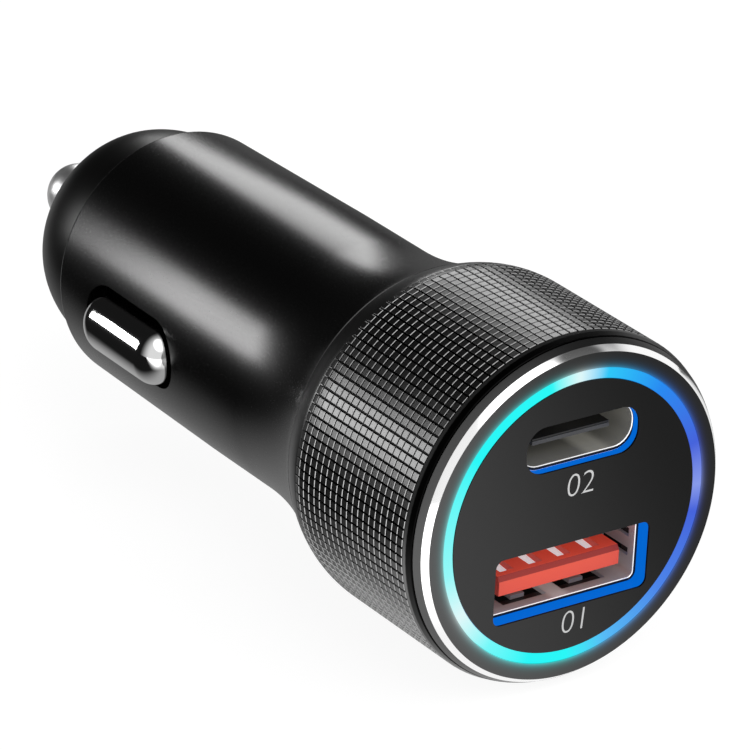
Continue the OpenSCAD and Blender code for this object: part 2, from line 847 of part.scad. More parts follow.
module nose_cap() {
    spigot_y = nose_y - seam - spigot_len;
    flange_bore_r = tip_flange_d / 2 + slide_gap;
    tube_r = flange_bore_r + nose_tube_wall;
    spigot_r = bore_r - fit;
    spigot_in_r = spigot_r - nose_spigot_wall;
    color([0.07, 0.07, 0.08])
        turned(concat(
            [[flange_bore_r, spigot_y], [tube_r, spigot_y]],
            [[tube_r, nose_y + 2], [spigot_in_r, nose_y + 1.2]],
            [[spigot_in_r, spigot_y], [spigot_r, spigot_y], [spigot_r, nose_y]],
            [for (i = [0:arc_steps]) nose_at(i / arc_steps)],
            [[tip_d / 2 + slide_gap, nose_end_y], [tip_d / 2 + slide_gap, tip_seat_y]],
            [[flange_bore_r, tip_seat_y]]
        ));
}

module centre_contact() {
    tip_r = tip_d / 2;
    ball_y = nose_end_y + tip_out - tip_r;
    flange_y = tip_seat_y - tip_flange_t;
    color([0.8, 0.79, 0.76])
        turned(concat(
            [[tip_bore_d / 2, flange_y], [tip_flange_d / 2, flange_y], [tip_flange_d / 2, tip_seat_y]],
            [[tip_r, tip_seat_y]],
            [for (i = [0:8]) let (a = 90 * i / 8) [tip_r * cos(a), ball_y + tip_r * sin(a)]],
            [[0, ball_y - 1], [tip_bore_d / 2, ball_y - 2]]
        ));
}

module centre_spring() {
    ball_y = nose_end_y + tip_out - tip_d / 2;
    color([0.7, 0.7, 0.7])
        translate([0, carrier_end_y + fit, 0])
            rotate([-90, 0, 0])
                coil(centre_spring_d, wire_d, ball_y - 2 - carrier_end_y - 2 * fit, centre_spring_turns);
}

// A ground contact is a pill where three rounded outlines meet: from behind, from the side and from above
module ground_contact(side) {
    dome_r = shoe_w / 2;
    dome_x = shoe_top - dome_r;
    color([0.88, 0.88, 0.88])
        at_slot(side)
            union() {
                intersection() {
                    translate([0, slot_l, 0])
                        rotate([90, 0, 0])
                            linear_extrude(2 * slot_l) {
                                translate([dome_x, 0])
                                    circle(r = dome_r);
                                translate([lip_low, -dome_r])
                                    square([dome_x - lip_low, shoe_w]);
                            }
                    translate([0, 0, -slot_w])
                        linear_extrude(2 * slot_w) {
                            for (end = [-1, 1])
                                translate([shoe_top - shoe_bow, end * (shoe_l / 2 - shoe_bow)])
                                    circle(r = shoe_bow);
                            translate([lip_low, -shoe_l / 2])
                                square([shoe_top - shoe_bow - lip_low, shoe_l]);
                            translate([lip_low, -shoe_l / 2 + shoe_bow])
                                square([shoe_top - lip_low, shoe_l - 2 * shoe_bow]);
                        }
                    obround_x(shoe_l, shoe_w + 0.02, lip_low, shoe_top + 1);
                }
                obround_x(lip_l, lip_w, lip_low, lip_top);
                translate([lip_low - 1, 0, 0])
                    rotate([0, 90, 0])
                        cylinder(r = peg_r, h = 1.2, $fn = 32);
            }
}

module ground_spring(side) {
    seat = spring_floor + ground_head_t + fit;
    color([0.7, 0.7, 0.7])
        at_slot(side)
            translate([seat, 0, 0])
                rotate([0, 90, 0])
                    coil(ground_spring_d, wire_d, lip_low - fit - seat, ground_spring_turns);
}

barrel_shell();
grip_sleeve();
front_bezel();
face_plate();
light_guide();
led_board();
led(0);  // led_1
led(1);  // led_2
led(2);  // led_3
led(3);  // led_4
led(4);  // led_5
led(5);  // led_6
usb_a_shell();
usb_a_tongue();
usb_a_contact(0);  // usb_a_contact_1
usb_a_contact(1);  // usb_a_contact_2
usb_a_contact(2);  // usb_a_contact_3
usb_a_contact(3);  // usb_a_contact_4
usb_c_shell();
usb_c_tongue();
usb_c_mid_plate();
usb_c_board();
board_pin(0);  // board_pin_1
board_pin(1);  // board_pin_2
main_board();
power_inductor();
converter_chip();
port_chip();
capacitor(0);  // capacitor_1
capacitor(1);  // capacitor_2
contact_carrier();
ground_terminal();
centre_terminal();
nose_cap();
centre_contact();
centre_spring();
ground_contact(-1);  // ground_contact_left
ground_contact(1);  // ground_contact_right
ground_spring(-1);  // ground_spring_left
ground_spring(1);  // ground_spring_right
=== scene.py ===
# %% [markdown]
# A charger plug for a car's power socket
#
# The plug has a knurled metal head, a glowing ring round two charging ports, a satin black
# body that flares into a straight barrel, and sprung contacts on the barrel and at its tip.
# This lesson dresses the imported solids: the lathe-turned outsides are spun again with fine
# outlines, the knurl gets its full count of pads, and each surface gets its own finish.

# %% Load the frame
import math

import bmesh
import bpy
from mathutils import Matrix
from mathutils import Quaternion
from mathutils import Vector


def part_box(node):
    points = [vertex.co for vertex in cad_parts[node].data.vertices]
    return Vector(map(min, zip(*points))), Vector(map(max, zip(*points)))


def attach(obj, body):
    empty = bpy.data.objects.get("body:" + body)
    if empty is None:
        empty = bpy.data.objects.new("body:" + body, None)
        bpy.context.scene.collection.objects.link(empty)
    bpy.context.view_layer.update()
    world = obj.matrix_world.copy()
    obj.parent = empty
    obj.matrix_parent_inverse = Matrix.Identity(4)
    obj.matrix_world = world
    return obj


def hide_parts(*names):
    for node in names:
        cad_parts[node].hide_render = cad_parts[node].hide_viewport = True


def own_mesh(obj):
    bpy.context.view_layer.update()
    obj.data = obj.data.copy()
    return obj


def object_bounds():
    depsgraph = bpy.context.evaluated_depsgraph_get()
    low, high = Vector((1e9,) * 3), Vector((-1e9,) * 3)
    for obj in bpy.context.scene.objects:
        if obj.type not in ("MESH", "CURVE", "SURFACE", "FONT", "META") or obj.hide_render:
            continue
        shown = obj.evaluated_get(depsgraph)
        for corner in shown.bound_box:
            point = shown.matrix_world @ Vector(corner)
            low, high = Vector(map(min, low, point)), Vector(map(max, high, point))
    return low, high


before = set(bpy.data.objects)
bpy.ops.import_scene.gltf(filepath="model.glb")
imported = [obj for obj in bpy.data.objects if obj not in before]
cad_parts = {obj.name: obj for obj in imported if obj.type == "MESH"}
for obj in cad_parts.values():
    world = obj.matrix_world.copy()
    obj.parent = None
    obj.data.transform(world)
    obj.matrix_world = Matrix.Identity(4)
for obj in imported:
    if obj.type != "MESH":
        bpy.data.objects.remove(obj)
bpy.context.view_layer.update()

# %% [markdown]
# Modules
#
# Blender shapes a mesh with the operators of its bmesh module, and mathutils has the vectors and
# the matrices that put a shape in its place.

# %% [markdown]
# Sizes
#
# Every size is written in millimetres and turned into metres once, when a mesh is made.
# The axis of the plug is Y: the ports face -Y and the centre contact points to +Y. Places
# come from the solids' own boxes where a box gives them.

# %% Places along the axis and radii
MM = 0.001


def span(node):
    """Lowest and highest corner of a solid, in millimetres."""
    low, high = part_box(node)
    return Vector(low) / MM, Vector(high) / MM


bezel_low, bezel_high = span("front_bezel")
sleeve_low, sleeve_high = span("grip_sleeve")
shell_low, shell_high = span("barrel_shell")
cap_low, cap_high = span("nose_cap")
tip_low, tip_high = span("centre_contact")
guide_high = span("light_guide")[1]
square_shell_end_y = span("usb_a_shell")[1].y
oval_shell_end_y = span("usb_c_shell")[1].y

face_y = bezel_low.y
sleeve_front_y = sleeve_low.y
sleeve_back_y = sleeve_high.y
barrel_end_y = shell_high.y
cap_end_y = cap_high.y
tip_end_y = tip_high.y
grip_r = sleeve_high.z
ring_out_r = guide_high.z

FIT = 0.05
FLARE_R = 12.3
BARREL_R = 10.4
BARREL_TAIL_R = 10.2
STRAIGHT_LEN = 7.5
SHOULDER_LEN = 3.9
RIM_W = 0.8
flare_front_y = sleeve_back_y + FIT
shoulder_y = flare_front_y - SHOULDER_LEN
print("head from", round(face_y, 2), "to", round(flare_front_y, 2), "tip at", round(tip_end_y, 2))

# %% [markdown]
# The camera
#
# The photograph was taken from far away with a long lens, a little to the left of the ports
# and above them, with a slight tilt. The camera's place and lens were worked out from the
# outline of the plug, so a point on the solids falls on the same pixel as in the photograph.

# %% Camera
CAMERA_PLACE = (-209.38, -292.43, 165.12)
CAMERA_AZIMUTH = -35.88
CAMERA_ELEVATION = 24.68
CAMERA_ROLL = 2.90
CAMERA_LENS = 257.9


def direction(azimuth, elevation):
    """Unit vector from the object; azimuth 0 is -Y and turns towards +X."""
    a = math.radians(azimuth)
    e = math.radians(elevation)
    return Vector((math.sin(a) * math.cos(e), -math.cos(a) * math.cos(e), math.sin(e)))


camera_data = bpy.data.cameras.new("camera")
camera_data.lens = CAMERA_LENS
camera_data.sensor_width = 36.0
camera_data.clip_start = 0.01
camera_data.clip_end = 20.0
camera = bpy.data.objects.new("camera", camera_data)
bpy.context.scene.collection.objects.link(camera)
camera.rotation_mode = "QUATERNION"
look = -direction(CAMERA_AZIMUTH, CAMERA_ELEVATION)
level = look.to_track_quat("-Z", "Y")
camera.rotation_quaternion = level @ Quaternion((0, 0, 1), math.radians(CAMERA_ROLL))
camera.location = Vector(CAMERA_PLACE) * MM
bpy.context.scene.camera = camera
print("camera at", tuple(round(v, 4) for v in camera.location))

# %% [markdown]
# Small helpers
#
# A finished mesh keeps its place in its own points, rides on a body of the mechanism and
# stands for one of the solids. Smooth shading stays smooth over gentle curves, and edges
# sharper than a given angle are marked sharp, so a turned corner stays crisp.

# %% From a bmesh to a piece
MERGE_DISTANCE = 1e-7


def finish_piece(bm, name, body, finish, replaces=(), sharp_deg=32):
    """Turns a bmesh in metres into a piece that rides on a body."""
    bmesh.ops.remove_doubles(bm, verts=bm.verts, dist=MERGE_DISTANCE)
    bmesh.ops.recalc_face_normals(bm, faces=bm.faces)
    limit = math.radians(sharp_deg)
    for face in bm.faces:
        face.smooth = True
    for edge in bm.edges:
        edge.smooth = len(edge.link_faces) != 2 or edge.calc_face_angle(0) < limit
    mesh = bpy.data.meshes.new(name)
    bm.to_mesh(mesh)
    bm.free()
    piece = bpy.data.objects.new(name, mesh)
    bpy.context.scene.collection.objects.link(piece)
    piece.data.materials.append(finish)
    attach(piece, body)
    if replaces:
        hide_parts(*replaces)
    return piece


def as_object(bm, name):
    """A plain object from a bmesh, as a cutter or for the studio."""
    mesh = bpy.data.meshes.new(name)
    bm.to_mesh(mesh)
    bm.free()
    plain = bpy.data.objects.new(name, mesh)
    bpy.context.scene.collection.objects.link(plain)
    return plain


def cut_away(bm, cutters):
    """The bmesh with each cutter's volume taken out. The cutters are used up."""
    bmesh.ops.recalc_face_normals(bm, faces=bm.faces)
    block = as_object(bm, "block")
    for number, tool in enumerate(cutters):
        bmesh.ops.recalc_face_normals(tool, faces=tool.faces)
        cutter = as_object(tool, f"cutter_{number}")
        cut = block.modifiers.new(f"cut_{number}", "BOOLEAN")
        cut.operation = "DIFFERENCE"
        cut.solver = "EXACT"
        cut.object = cutter
    graph = bpy.context.evaluated_depsgraph_get()
    result = bmesh.new()
    result.from_mesh(block.evaluated_get(graph).to_mesh())
    for cut in list(block.modifiers):
        bpy.data.objects.remove(cut.object)
    bpy.data.objects.remove(block)
    return result


# %% [markdown]
# Lathe work
#
# Most of the plug was turned or moulded round its axis. An outline of radius and place along
# the axis becomes a chain of edges, and the spin operator sweeps it once round.

# %% Spin an outline about the Y axis
LATHE_STEPS = 192


def lathe(outline, steps=LATHE_STEPS, closed=True):
    """Sweeps a list of (radius, y) in millimetres once round the Y axis."""
    bm = bmesh.new()
    chain = [bm.verts.new((r * MM, y * MM, 0)) for r, y in outline]
    ends = chain[1:] + chain[:1] if closed else chain[1:]
    edges = [bm.edges.new((a, b)) for a, b in zip(chain, ends)]
    bmesh.ops.spin(
        bm,
        geom=chain + edges,
        cent=(0, 0, 0),
        axis=(0, 1, 0),
        dvec=(0, 0, 0),
        angle=math.tau,
        steps=steps,
        use_merge=True,
        use_normal_flip=False,
        use_duplicate=False,
    )
    bmesh.ops.remove_doubles(bm, verts=bm.verts, dist=MERGE_DISTANCE)
    return bm


def arc(centre, radius, start_deg, end_deg, steps):
    """Points on a circle in the (radius, y) plane."""
    turn = (end_deg - start_deg) / steps
    angles = [math.radians(start_deg + turn * i) for i in range(steps + 1)]
    return [(centre[0] + radius * math.cos(a), centre[1] + radius * math.sin(a)) for a in angles]


# %% [markdown]
# Shared finish effects
#
# Several finishes share the same few effects: a fine grain, the distance from the axis, the
# ring's light and a tone across the front. Each effect is a node group with named inputs, so
# every material can use it in its own way. The helpers below keep the node trees short.

# %% Node helpers
def srgb(red, green, blue):
    """Linear colour of a display colour given as 0 to 255."""
    linear = []
    for value in (red, green, blue):
        c = value / 255
        linear.append(c / 12.92 if c <= 0.04045 else ((c + 0.055) / 1.055) ** 2.4)
    return (*linear, 1.0)


def grey(level):
    """Display grey of 0 to 255 as a linear colour."""
    return srgb(level, level, level)


def new_group(name, inputs, outputs):
    """Shader node group with named float or vector sockets."""
    group = bpy.data.node_groups.new(name, "ShaderNodeTree")
    for label, kind, value in inputs:
        socket = group.interface.new_socket(label, in_out="INPUT", socket_type=kind)
        if value is not None:
            socket.default_value = value
    for label, kind in outputs:
        group.interface.new_socket(label, in_out="OUTPUT", socket_type=kind)
    start = group.nodes.new("NodeGroupInput")
    end = group.nodes.new("NodeGroupOutput")
    return group, start, end


def math_node(tree, operation, first, second=None):
    """Math node whose inputs are sockets or numbers."""
    node = tree.nodes.new("ShaderNodeMath")
    node.operation = operation
    for index, value in enumerate((first, second)):
        if value is None:
            continue
        if isinstance(value, (int, float)):
            node.inputs[index].default_value = value
        else:
            tree.links.new(value, node.inputs[index])
    return node.outputs[0]


def smooth_range(tree, value, start, full, low=0.0, high=1.0):
    """Value that runs smoothly from low to high while its input runs from start to full."""
    node = tree.nodes.new("ShaderNodeMapRange")
    node.interpolation_type = "SMOOTHSTEP"
    node.inputs["From Min"].default_value = start
    node.inputs["From Max"].default_value = full
    node.inputs["To Min"].default_value = low
    node.inputs["To Max"].default_value = high
    tree.links.new(value, node.inputs["Value"])
    return node.outputs["Result"]


def mm_range(tree, value, ends_mm, low=0.0, high=1.0):
    """The same for a place in metres, with both of its ends in millimetres."""
    return smooth_range(tree, value, ends_mm[0] * MM, ends_mm[1] * MM, low, high)


def blend_colour(tree, share, first, second):
    """Colour that goes from first to second; each is a colour or a socket."""
    mix = tree.nodes.new("ShaderNodeMix")
    mix.data_type = "RGBA"
    for label, value in (("A", first), ("B", second)):
        if isinstance(value, tuple):
            mix.inputs[label].default_value = value
        else:
            tree.links.new(value, mix.inputs[label])
    tree.links.new(share, mix.inputs["Factor"])
    return mix.outputs["Result"]


def coordinate(tree, kind):
    """Object coordinates, or the Normal or another output of Texture Coordinate."""
    return tree.nodes.new("ShaderNodeTexCoord").outputs[kind]


def parts_of(tree, vector):
    """The X, Y and Z outputs of a vector."""
    split = tree.nodes.new("ShaderNodeSeparateXYZ")
    tree.links.new(vector, split.inputs[0])
    return split.outputs


def use_group(tree, group, vector=None):
    """Places a group, fed with Object coordinates unless another vector is given."""
    node = tree.nodes.new("ShaderNodeGroup")
    node.node_tree = group
    if vector is None:
        vector = coordinate(tree, "Object")
    tree.links.new(vector, node.inputs["Vector"])
    return node


# %% [markdown]
# The grain
#
# Under a lens, moulded plastic and blasted metal have a fine irregular grain that blurs what
# they mirror. A noise texture gives it: as a height for a Bump node, and as a small swing of
# the roughness. Its size is an input, since the body's grain is finer than that of the coil
# core on the circuit board.

# %% Grain group: fine moulded texture as a height and a roughness
def make_grain():
    group, start, end = new_group(
        "grain",
        [
            ("Vector", "NodeSocketVector", None),
            ("Size", "NodeSocketFloat", 0.0001),
            ("Roughness", "NodeSocketFloat", 0.4),
            ("Variation", "NodeSocketFloat", 0.1),
        ],
        [("Height", "NodeSocketFloat"), ("Roughness", "NodeSocketFloat")],
    )
    scale = math_node(group, "DIVIDE", 1.0, start.outputs["Size"])
    noise = group.nodes.new("ShaderNodeTexNoise")
    noise.inputs["Detail"].default_value = 2.0
    group.links.new(start.outputs["Vector"], noise.inputs["Vector"])
    group.links.new(scale, noise.inputs["Scale"])
    group.links.new(noise.outputs["Fac"], end.inputs["Height"])
    centred = math_node(group, "SUBTRACT", noise.outputs["Fac"], 0.5)
    swing = math_node(group, "MULTIPLY", centred, start.outputs["Variation"])
    rough = math_node(group, "ADD", swing, start.outputs["Roughness"])
    group.links.new(rough, end.inputs["Roughness"])
    return group


grain_group = make_grain()
print("group", grain_group.name)

# %% [markdown]
# Where a point is about the axis
#
# The plug is round, so most of its finishes change with the distance from the axis, with the
# angle about it, or with the place along it. One group works these three out from the Object
# coordinates, and each finish reads the one that it needs.

# %% Axis group: radius and angle about the plug's axis
def make_about_axis():
    group, start, end = new_group(
        "about_axis",
        [("Vector", "NodeSocketVector", None)],
        [
            ("Radius", "NodeSocketFloat"),
            ("Turn", "NodeSocketFloat"),
            ("Along", "NodeSocketFloat"),
        ],
    )
    place = parts_of(group, start.outputs["Vector"])
    x = place["X"]
    z = place["Z"]
    x_squared = math_node(group, "MULTIPLY", x, x)
    z_squared = math_node(group, "MULTIPLY", z, z)
    total = math_node(group, "ADD", x_squared, z_squared)
    radius = math_node(group, "SQRT", total)
    in_mm = math_node(group, "MULTIPLY", radius, 1 / MM)
    group.links.new(in_mm, end.inputs["Radius"])
    angle = math_node(group, "ARCTAN2", z, x)
    share = math_node(group, "DIVIDE", angle, math.tau)
    turn = math_node(group, "FRACT", share)
    group.links.new(turn, end.inputs["Turn"])
    along = math_node(group, "MULTIPLY", place["Y"], 1 / MM)
    group.links.new(along, end.inputs["Along"])
    return group


axis_group = make_about_axis()
print("group", axis_group.name)

# %% [markdown]
# Ring colours
#
# The ring is lit by small lights of several colours. The colour runs from cyan at the left
# and bottom through azure at the top to a violet blue at the right, with a paler place in
# front of each light. The same colours are painted a little onto the black edges beside the
# ring as a glow. A colour ramp holds them: its 0 is at the right, and it turns upwards.

# %% Ring colour group
VIOLET = srgb(138, 156, 238)
BLUE = srgb(70, 99, 223)
AZURE = srgb(38, 139, 246)
DUSK_AZURE = srgb(77, 134, 237)
SKY = srgb(45, 203, 254)
DUSK_SKY = srgb(88, 190, 251)
CYAN = srgb(40, 252, 251)
PALE_CYAN = srgb(152, 253, 252)
CLEAR_CYAN = srgb(119, 253, 253)
HOT_SPOT = srgb(229, 253, 253)
RING_STOPS = [
    (0.00, VIOLET),
    (0.05, BLUE),
    (0.14, AZURE),
    (0.22, SKY),
    (0.255, HOT_SPOT),
    (0.29, CYAN),
    (0.40, CYAN),
    (0.53, PALE_CYAN),
    (0.583, HOT_SPOT),
    (0.64, CLEAR_CYAN),
    (0.70, CYAN),
    (0.75, CYAN),
    (0.80, DUSK_SKY),
    (0.88, DUSK_AZURE),
    (0.97, BLUE),
    (1.00, VIOLET),
]


def make_ring_colour():
    group, start, end = new_group(
        "ring_colour",
        [("Vector", "NodeSocketVector", None)],
        [("Color", "NodeSocketColor"), ("Radius", "NodeSocketFloat")],
    )
    place = use_group(group, axis_group, start.outputs["Vector"])
    ramp = group.nodes.new("ShaderNodeValToRGB")
    stops = ramp.color_ramp.elements
    for position, colour in RING_STOPS[1:-1]:
        stop = stops.new(position)
        stop.color = colour
    stops[0].color = RING_STOPS[0][1]
    stops[len(stops) - 1].color = RING_STOPS[-1][1]
    group.links.new(place.outputs["Turn"], ramp.inputs["Fac"])
    group.links.new(ramp.outputs["Color"], end.inputs["Color"])
    group.links.new(place.outputs["Radius"], end.inputs["Radius"])
    return group


ring_group = make_ring_colour()
print("ring colours", len(RING_STOPS))

# %% [markdown]
# One way to start every material
#
# Each finish starts from the Principled shader, which has a socket for the colour, the
# roughness and the share of metal. Constant numbers stay on those sockets, where they can be
# read back, and only what changes over the surface is linked.

# %% Material builder
def new_material(name, colour, roughness=0.4, metallic=0.0, ior=1.5):
    """Material with a Principled shader; returns the material, its tree and its shader."""
    material = bpy.data.materials.new(name)
    material.use_nodes = True
    shader = material.node_tree.nodes["Principled BSDF"]
    shader.inputs["Base Color"].default_value = colour
    shader.inputs["Roughness"].default_value = roughness
    shader.inputs["Metallic"].default_value = metallic
    shader.inputs["IOR"].default_value = ior
    return material, material.node_tree, shader


def add_grain(tree, shader, size_mm, roughness, variation, height_mm):
    """Gives a shader the grain group's roughness and a bump of the same grain."""
    grain = use_group(tree, grain_group)
    grain.inputs["Size"].default_value = size_mm * MM
    grain.inputs["Roughness"].default_value = roughness
    grain.inputs["Variation"].default_value = variation
    tree.links.new(grain.outputs["Roughness"], shader.inputs["Roughness"])
    bump = tree.nodes.new("ShaderNodeBump")
    bump.inputs["Strength"].default_value = 1.0
    bump.inputs["Distance"].default_value = height_mm * MM
    tree.links.new(grain.outputs["Height"], bump.inputs["Height"])
    tree.links.new(bump.outputs["Normal"], shader.inputs["Normal"])


GRAIN_SWING = 0.12


def plain_material(
    name, colour, roughness, metallic=0.0, ior=1.5, size=0.12, height=0.0015, painted_glow=0.0
):
    """Material with one colour and its own grain; the last argument is a painted glow, an emission of
    that colour that brightens deep corners.
    """
    material, tree, shader = new_material(name, colour, roughness, metallic, ior)
    add_grain(tree, shader, size, roughness, GRAIN_SWING, height)
    shader.inputs["Emission Color"].default_value = colour
    shader.inputs["Emission Strength"].default_value = painted_glow
    return material


# %% [markdown]
# Plain finishes
#
# Satin black plastic for the body, a softer black for the nose cap, nickel for the centre
# contact, and simple finishes for the parts inside. Each needs one colour and its own grain.

# %% Finishes of one colour
satin_black = plain_material("satin_black", grey(4), 0.25, size=0.09, height=0.0008)
cap_black = plain_material("cap_black", grey(5), 0.34, ior=1.33, size=0.12, height=0.0006)
tip_nickel = plain_material("tip_nickel", grey(224), 0.36, metallic=0.9, size=0.4, height=0.0004)
plate_grey = plain_material("plate_grey", grey(62), 0.5)
# The contact pads get a painted glow, so they stay bright deep in their notches.
pad_white = plain_material("pad_white", grey(232), 0.4, painted_glow=0.45)
port_black = plain_material("port_black", grey(10), 0.45)
gold = plain_material("gold", srgb(226, 186, 104), 0.22, metallic=1.0)
board_green = plain_material("board_green", srgb(14, 92, 58), 0.35)
board_black = plain_material("board_black", grey(24), 0.5)
phosphor = plain_material("phosphor", srgb(238, 224, 150), 0.4)
ferrite = plain_material("ferrite", grey(70), 0.6, size=0.2, height=0.004)
can_blue = plain_material("can_blue", srgb(40, 54, 110), 0.3)
# The contact carrier is painted near black as shade, so the slots round the side contacts stay dark.
carrier_painted_shade = plain_material("carrier_painted_shade", grey(20), 0.5)
brass = plain_material("brass", srgb(204, 168, 96), 0.3, metallic=1.0)
wire = plain_material("wire", grey(176), 0.28, metallic=1.0)
print("plain finishes", len(bpy.data.materials))

# %% [markdown]
# The bezel's finish
#
# One turned ring carries two finishes: dark satin metal, and a narrow chamfer that was cut
# bright after the ring was coloured. A mask on the distance from the axis and from the face
# tells them apart. The ring's light is painted onto its inner edge as a glow, and a painted
# reflection makes the flat front lighter from its upper right to its lower left, as a wide
# window would show in it.

# %% Painted glow from the ring
GLOW_REACH = 0.2
GLOW_STRENGTH = 0.5
BLACK = grey(0)


def add_glow(tree, shader, edge_r):
    """Adds a painted glow of the ring's colour that fades outwards from the ring's edge."""
    ring = use_group(tree, ring_group)
    away = math_node(tree, "SUBTRACT", ring.outputs["Radius"], edge_r)
    near = math_node(tree, "MAXIMUM", away, 0.0)
    fade = math_node(tree, "DIVIDE", near, -GLOW_REACH)
    level = math_node(tree, "EXPONENT", fade)
    glow = blend_colour(tree, level, BLACK, ring.outputs["Color"])
    tree.links.new(glow, shader.inputs["Emission Color"])
    shader.inputs["Emission Strength"].default_value = GLOW_STRENGTH


# %% [markdown]
# Painted reflection across the front
#
# A flat black face mirrors a soft window unevenly. That reflection is painted: one group gives
# a value that runs across the front, and the bezel and the face plate each blend two greys with it.

# %% Painted reflection group
SHEEN_ENDS = (12, -13)
SHEEN_SLANT = 0.5


def make_painted_sheen():
    """Share of painted reflection, from 0 at the upper right of the face to 1 at its lower left."""
    group, start, end = new_group(
        "painted_sheen_across", [("Vector", "NodeSocketVector", None)], [("Value", "NodeSocketFloat")]
    )
    place = parts_of(group, start.outputs["Vector"])
    drop = math_node(group, "MULTIPLY", place["Z"], SHEEN_SLANT)
    across = math_node(group, "ADD", place["X"], drop)
    value = mm_range(group, across, SHEEN_ENDS)
    group.links.new(value, end.inputs["Value"])
    return group


painted_sheen_group = make_painted_sheen()


def add_painted_sheen(tree, right, left):
    """Colour with a painted reflection that runs across the face from one grey to another."""
    sheen = use_group(tree, painted_sheen_group)
    return blend_colour(tree, sheen.outputs["Value"], right, left)


# %% [markdown]
# The bezel's two metals
#
# Metallic and roughness can follow a mask as well as the colour does: where the chamfer is,
# the ring is bare polished metal, and elsewhere it is a dark coating.

# %% Bezel finish
CHAMFER_IN_R = 12.43
CHAMFER_OUT_R = 12.83
CHAMFER_DEPTH = 0.46
MASK_INSET = 0.01
COATED_ROUGHNESS = 0.28
CUT_ROUGHNESS = 0.1
COATING_DARK = grey(8)
COATING_PAINTED_SHEEN = grey(73)
CUT_BRIGHT = grey(250)


def make_bezel_finish():
    material, tree, shader = new_material("bezel_metal", grey(60), 0.3, ior=1.28)
    place = use_group(tree, axis_group)
    radius = place.outputs["Radius"]
    outside = math_node(tree, "GREATER_THAN", radius, CHAMFER_IN_R + MASK_INSET)
    inside = math_node(tree, "LESS_THAN", radius, CHAMFER_OUT_R - MASK_INSET)
    front = math_node(tree, "LESS_THAN", place.outputs["Along"], face_y + CHAMFER_DEPTH)
    band = math_node(tree, "MULTIPLY", outside, inside)
    bright = math_node(tree, "MULTIPLY", band, front)
    # The coating's colour carries the painted reflection across the front.
    coating_and_sheen = add_painted_sheen(tree, COATING_DARK, COATING_PAINTED_SHEEN)
    colour = blend_colour(tree, bright, coating_and_sheen, CUT_BRIGHT)
    tree.links.new(colour, shader.inputs["Base Color"])
    tree.links.new(bright, shader.inputs["Metallic"])
    polish = math_node(tree, "MULTIPLY", bright, CUT_ROUGHNESS - COATED_ROUGHNESS)
    rough = math_node(tree, "ADD", polish, COATED_ROUGHNESS)
    tree.links.new(rough, shader.inputs["Roughness"])
    add_glow(tree, shader, ring_out_r)
    return material


bezel_metal = make_bezel_finish()

# %% [markdown]
# The face plate's finish
#
# The face is a satin black disc. Its front carries the painted reflection that runs across, and
# the walls of its openings are painted plain black as shade: the direction of the surface tells a
# wall from the front.

# %% Face finish
FRONT_TO_WALL = (-0.8, -0.4)
FACE_PAINTED_SHEEN = grey(50)


def make_face_finish():
    material, tree, shader = new_material("face_black", grey(34), 0.3, ior=1.22)
    add_grain(tree, shader, size_mm=0.1, roughness=0.32, variation=0.1, height_mm=0.0006)
    facing = parts_of(tree, coordinate(tree, "Normal"))
    # The walls of the openings are painted black as shade.
    shaded_wall = smooth_range(tree, facing["Y"], *FRONT_TO_WALL)
    front = add_painted_sheen(tree, BLACK, FACE_PAINTED_SHEEN)
    tree.links.new(blend_colour(tree, shaded_wall, front, BLACK), shader.inputs["Base Color"])
    return material


face_black = make_face_finish()

# %% [markdown]
# The side contacts' finish
#
# The contacts are bright nickel, which mirrors the room. Deep in its slot a contact mirrors only
# the dark slot, so its colour is painted black there as shade, below a given distance from the axis.

# %% Contact finish
SLOT_SHADE_R = 9.6
SLOT_SHADE_DEPTH = 0.5
SLOT_PAINTED_SHADE = grey(8)
NICKEL_BRIGHT = grey(226)


def make_contact_finish():
    """Bright nickel outside, painted black as shade where a contact sits down in its slot."""
    material, tree, shader = new_material("nickel", NICKEL_BRIGHT, 0.08, metallic=1.0)
    radius = use_group(tree, axis_group).outputs["Radius"]
    shown = smooth_range(tree, radius, SLOT_SHADE_R - SLOT_SHADE_DEPTH, SLOT_SHADE_R)
    colour = blend_colour(tree, shown, SLOT_PAINTED_SHADE, NICKEL_BRIGHT)
    tree.links.new(colour, shader.inputs["Base Color"])
    return material


nickel = make_contact_finish()
print("finishes so far", len(bpy.data.materials))

# %% [markdown]
# The grip's finish
#
# The grooves between the pads are painted dark as shade, and the front edge of each pad is
# painted lighter as a glint. The depth under the smooth outside of the sleeve finds the grooves,
# and the direction of the surface finds the front edges, so the finish needs no image and
# follows the mesh.

# %% Grip finish
GROOVE_SHADE_ENDS = (0.05, 0.09)
PAINTED_GLINT_ENDS = (-0.4, -0.6)
PAD_STEEL = grey(90)
PAD_PAINTED_GLINT = grey(165)
GROOVE_PAINTED_SHADE = grey(10)


def make_grip_finish():
    material, tree, shader = new_material("grip_metal", PAD_STEEL, 0.33, metallic=1.0)
    place = use_group(tree, axis_group)
    past = math_node(tree, "SUBTRACT", place.outputs["Along"], shoulder_y)
    share = math_node(tree, "DIVIDE", math_node(tree, "MAXIMUM", past, 0.0), SHOULDER_LEN)
    fall = math_node(tree, "MULTIPLY", math_node(tree, "MULTIPLY", share, share), grip_r - FLARE_R)
    surface = math_node(tree, "SUBTRACT", grip_r, fall)
    depth = math_node(tree, "SUBTRACT", surface, place.outputs["Radius"])
    # Painted shade in the grooves, and a painted glint on the front edges of the pads.
    painted_groove_shade = smooth_range(tree, depth, *GROOVE_SHADE_ENDS)
    facing = parts_of(tree, coordinate(tree, "Normal"))
    painted_glint = smooth_range(tree, facing["Y"], *PAINTED_GLINT_ENDS)
    pad = blend_colour(tree, painted_glint, PAD_STEEL, PAD_PAINTED_GLINT)
    tree.links.new(blend_colour(tree, painted_groove_shade, pad, GROOVE_PAINTED_SHADE), shader.inputs["Base Color"])
    return material


grip_metal = make_grip_finish()
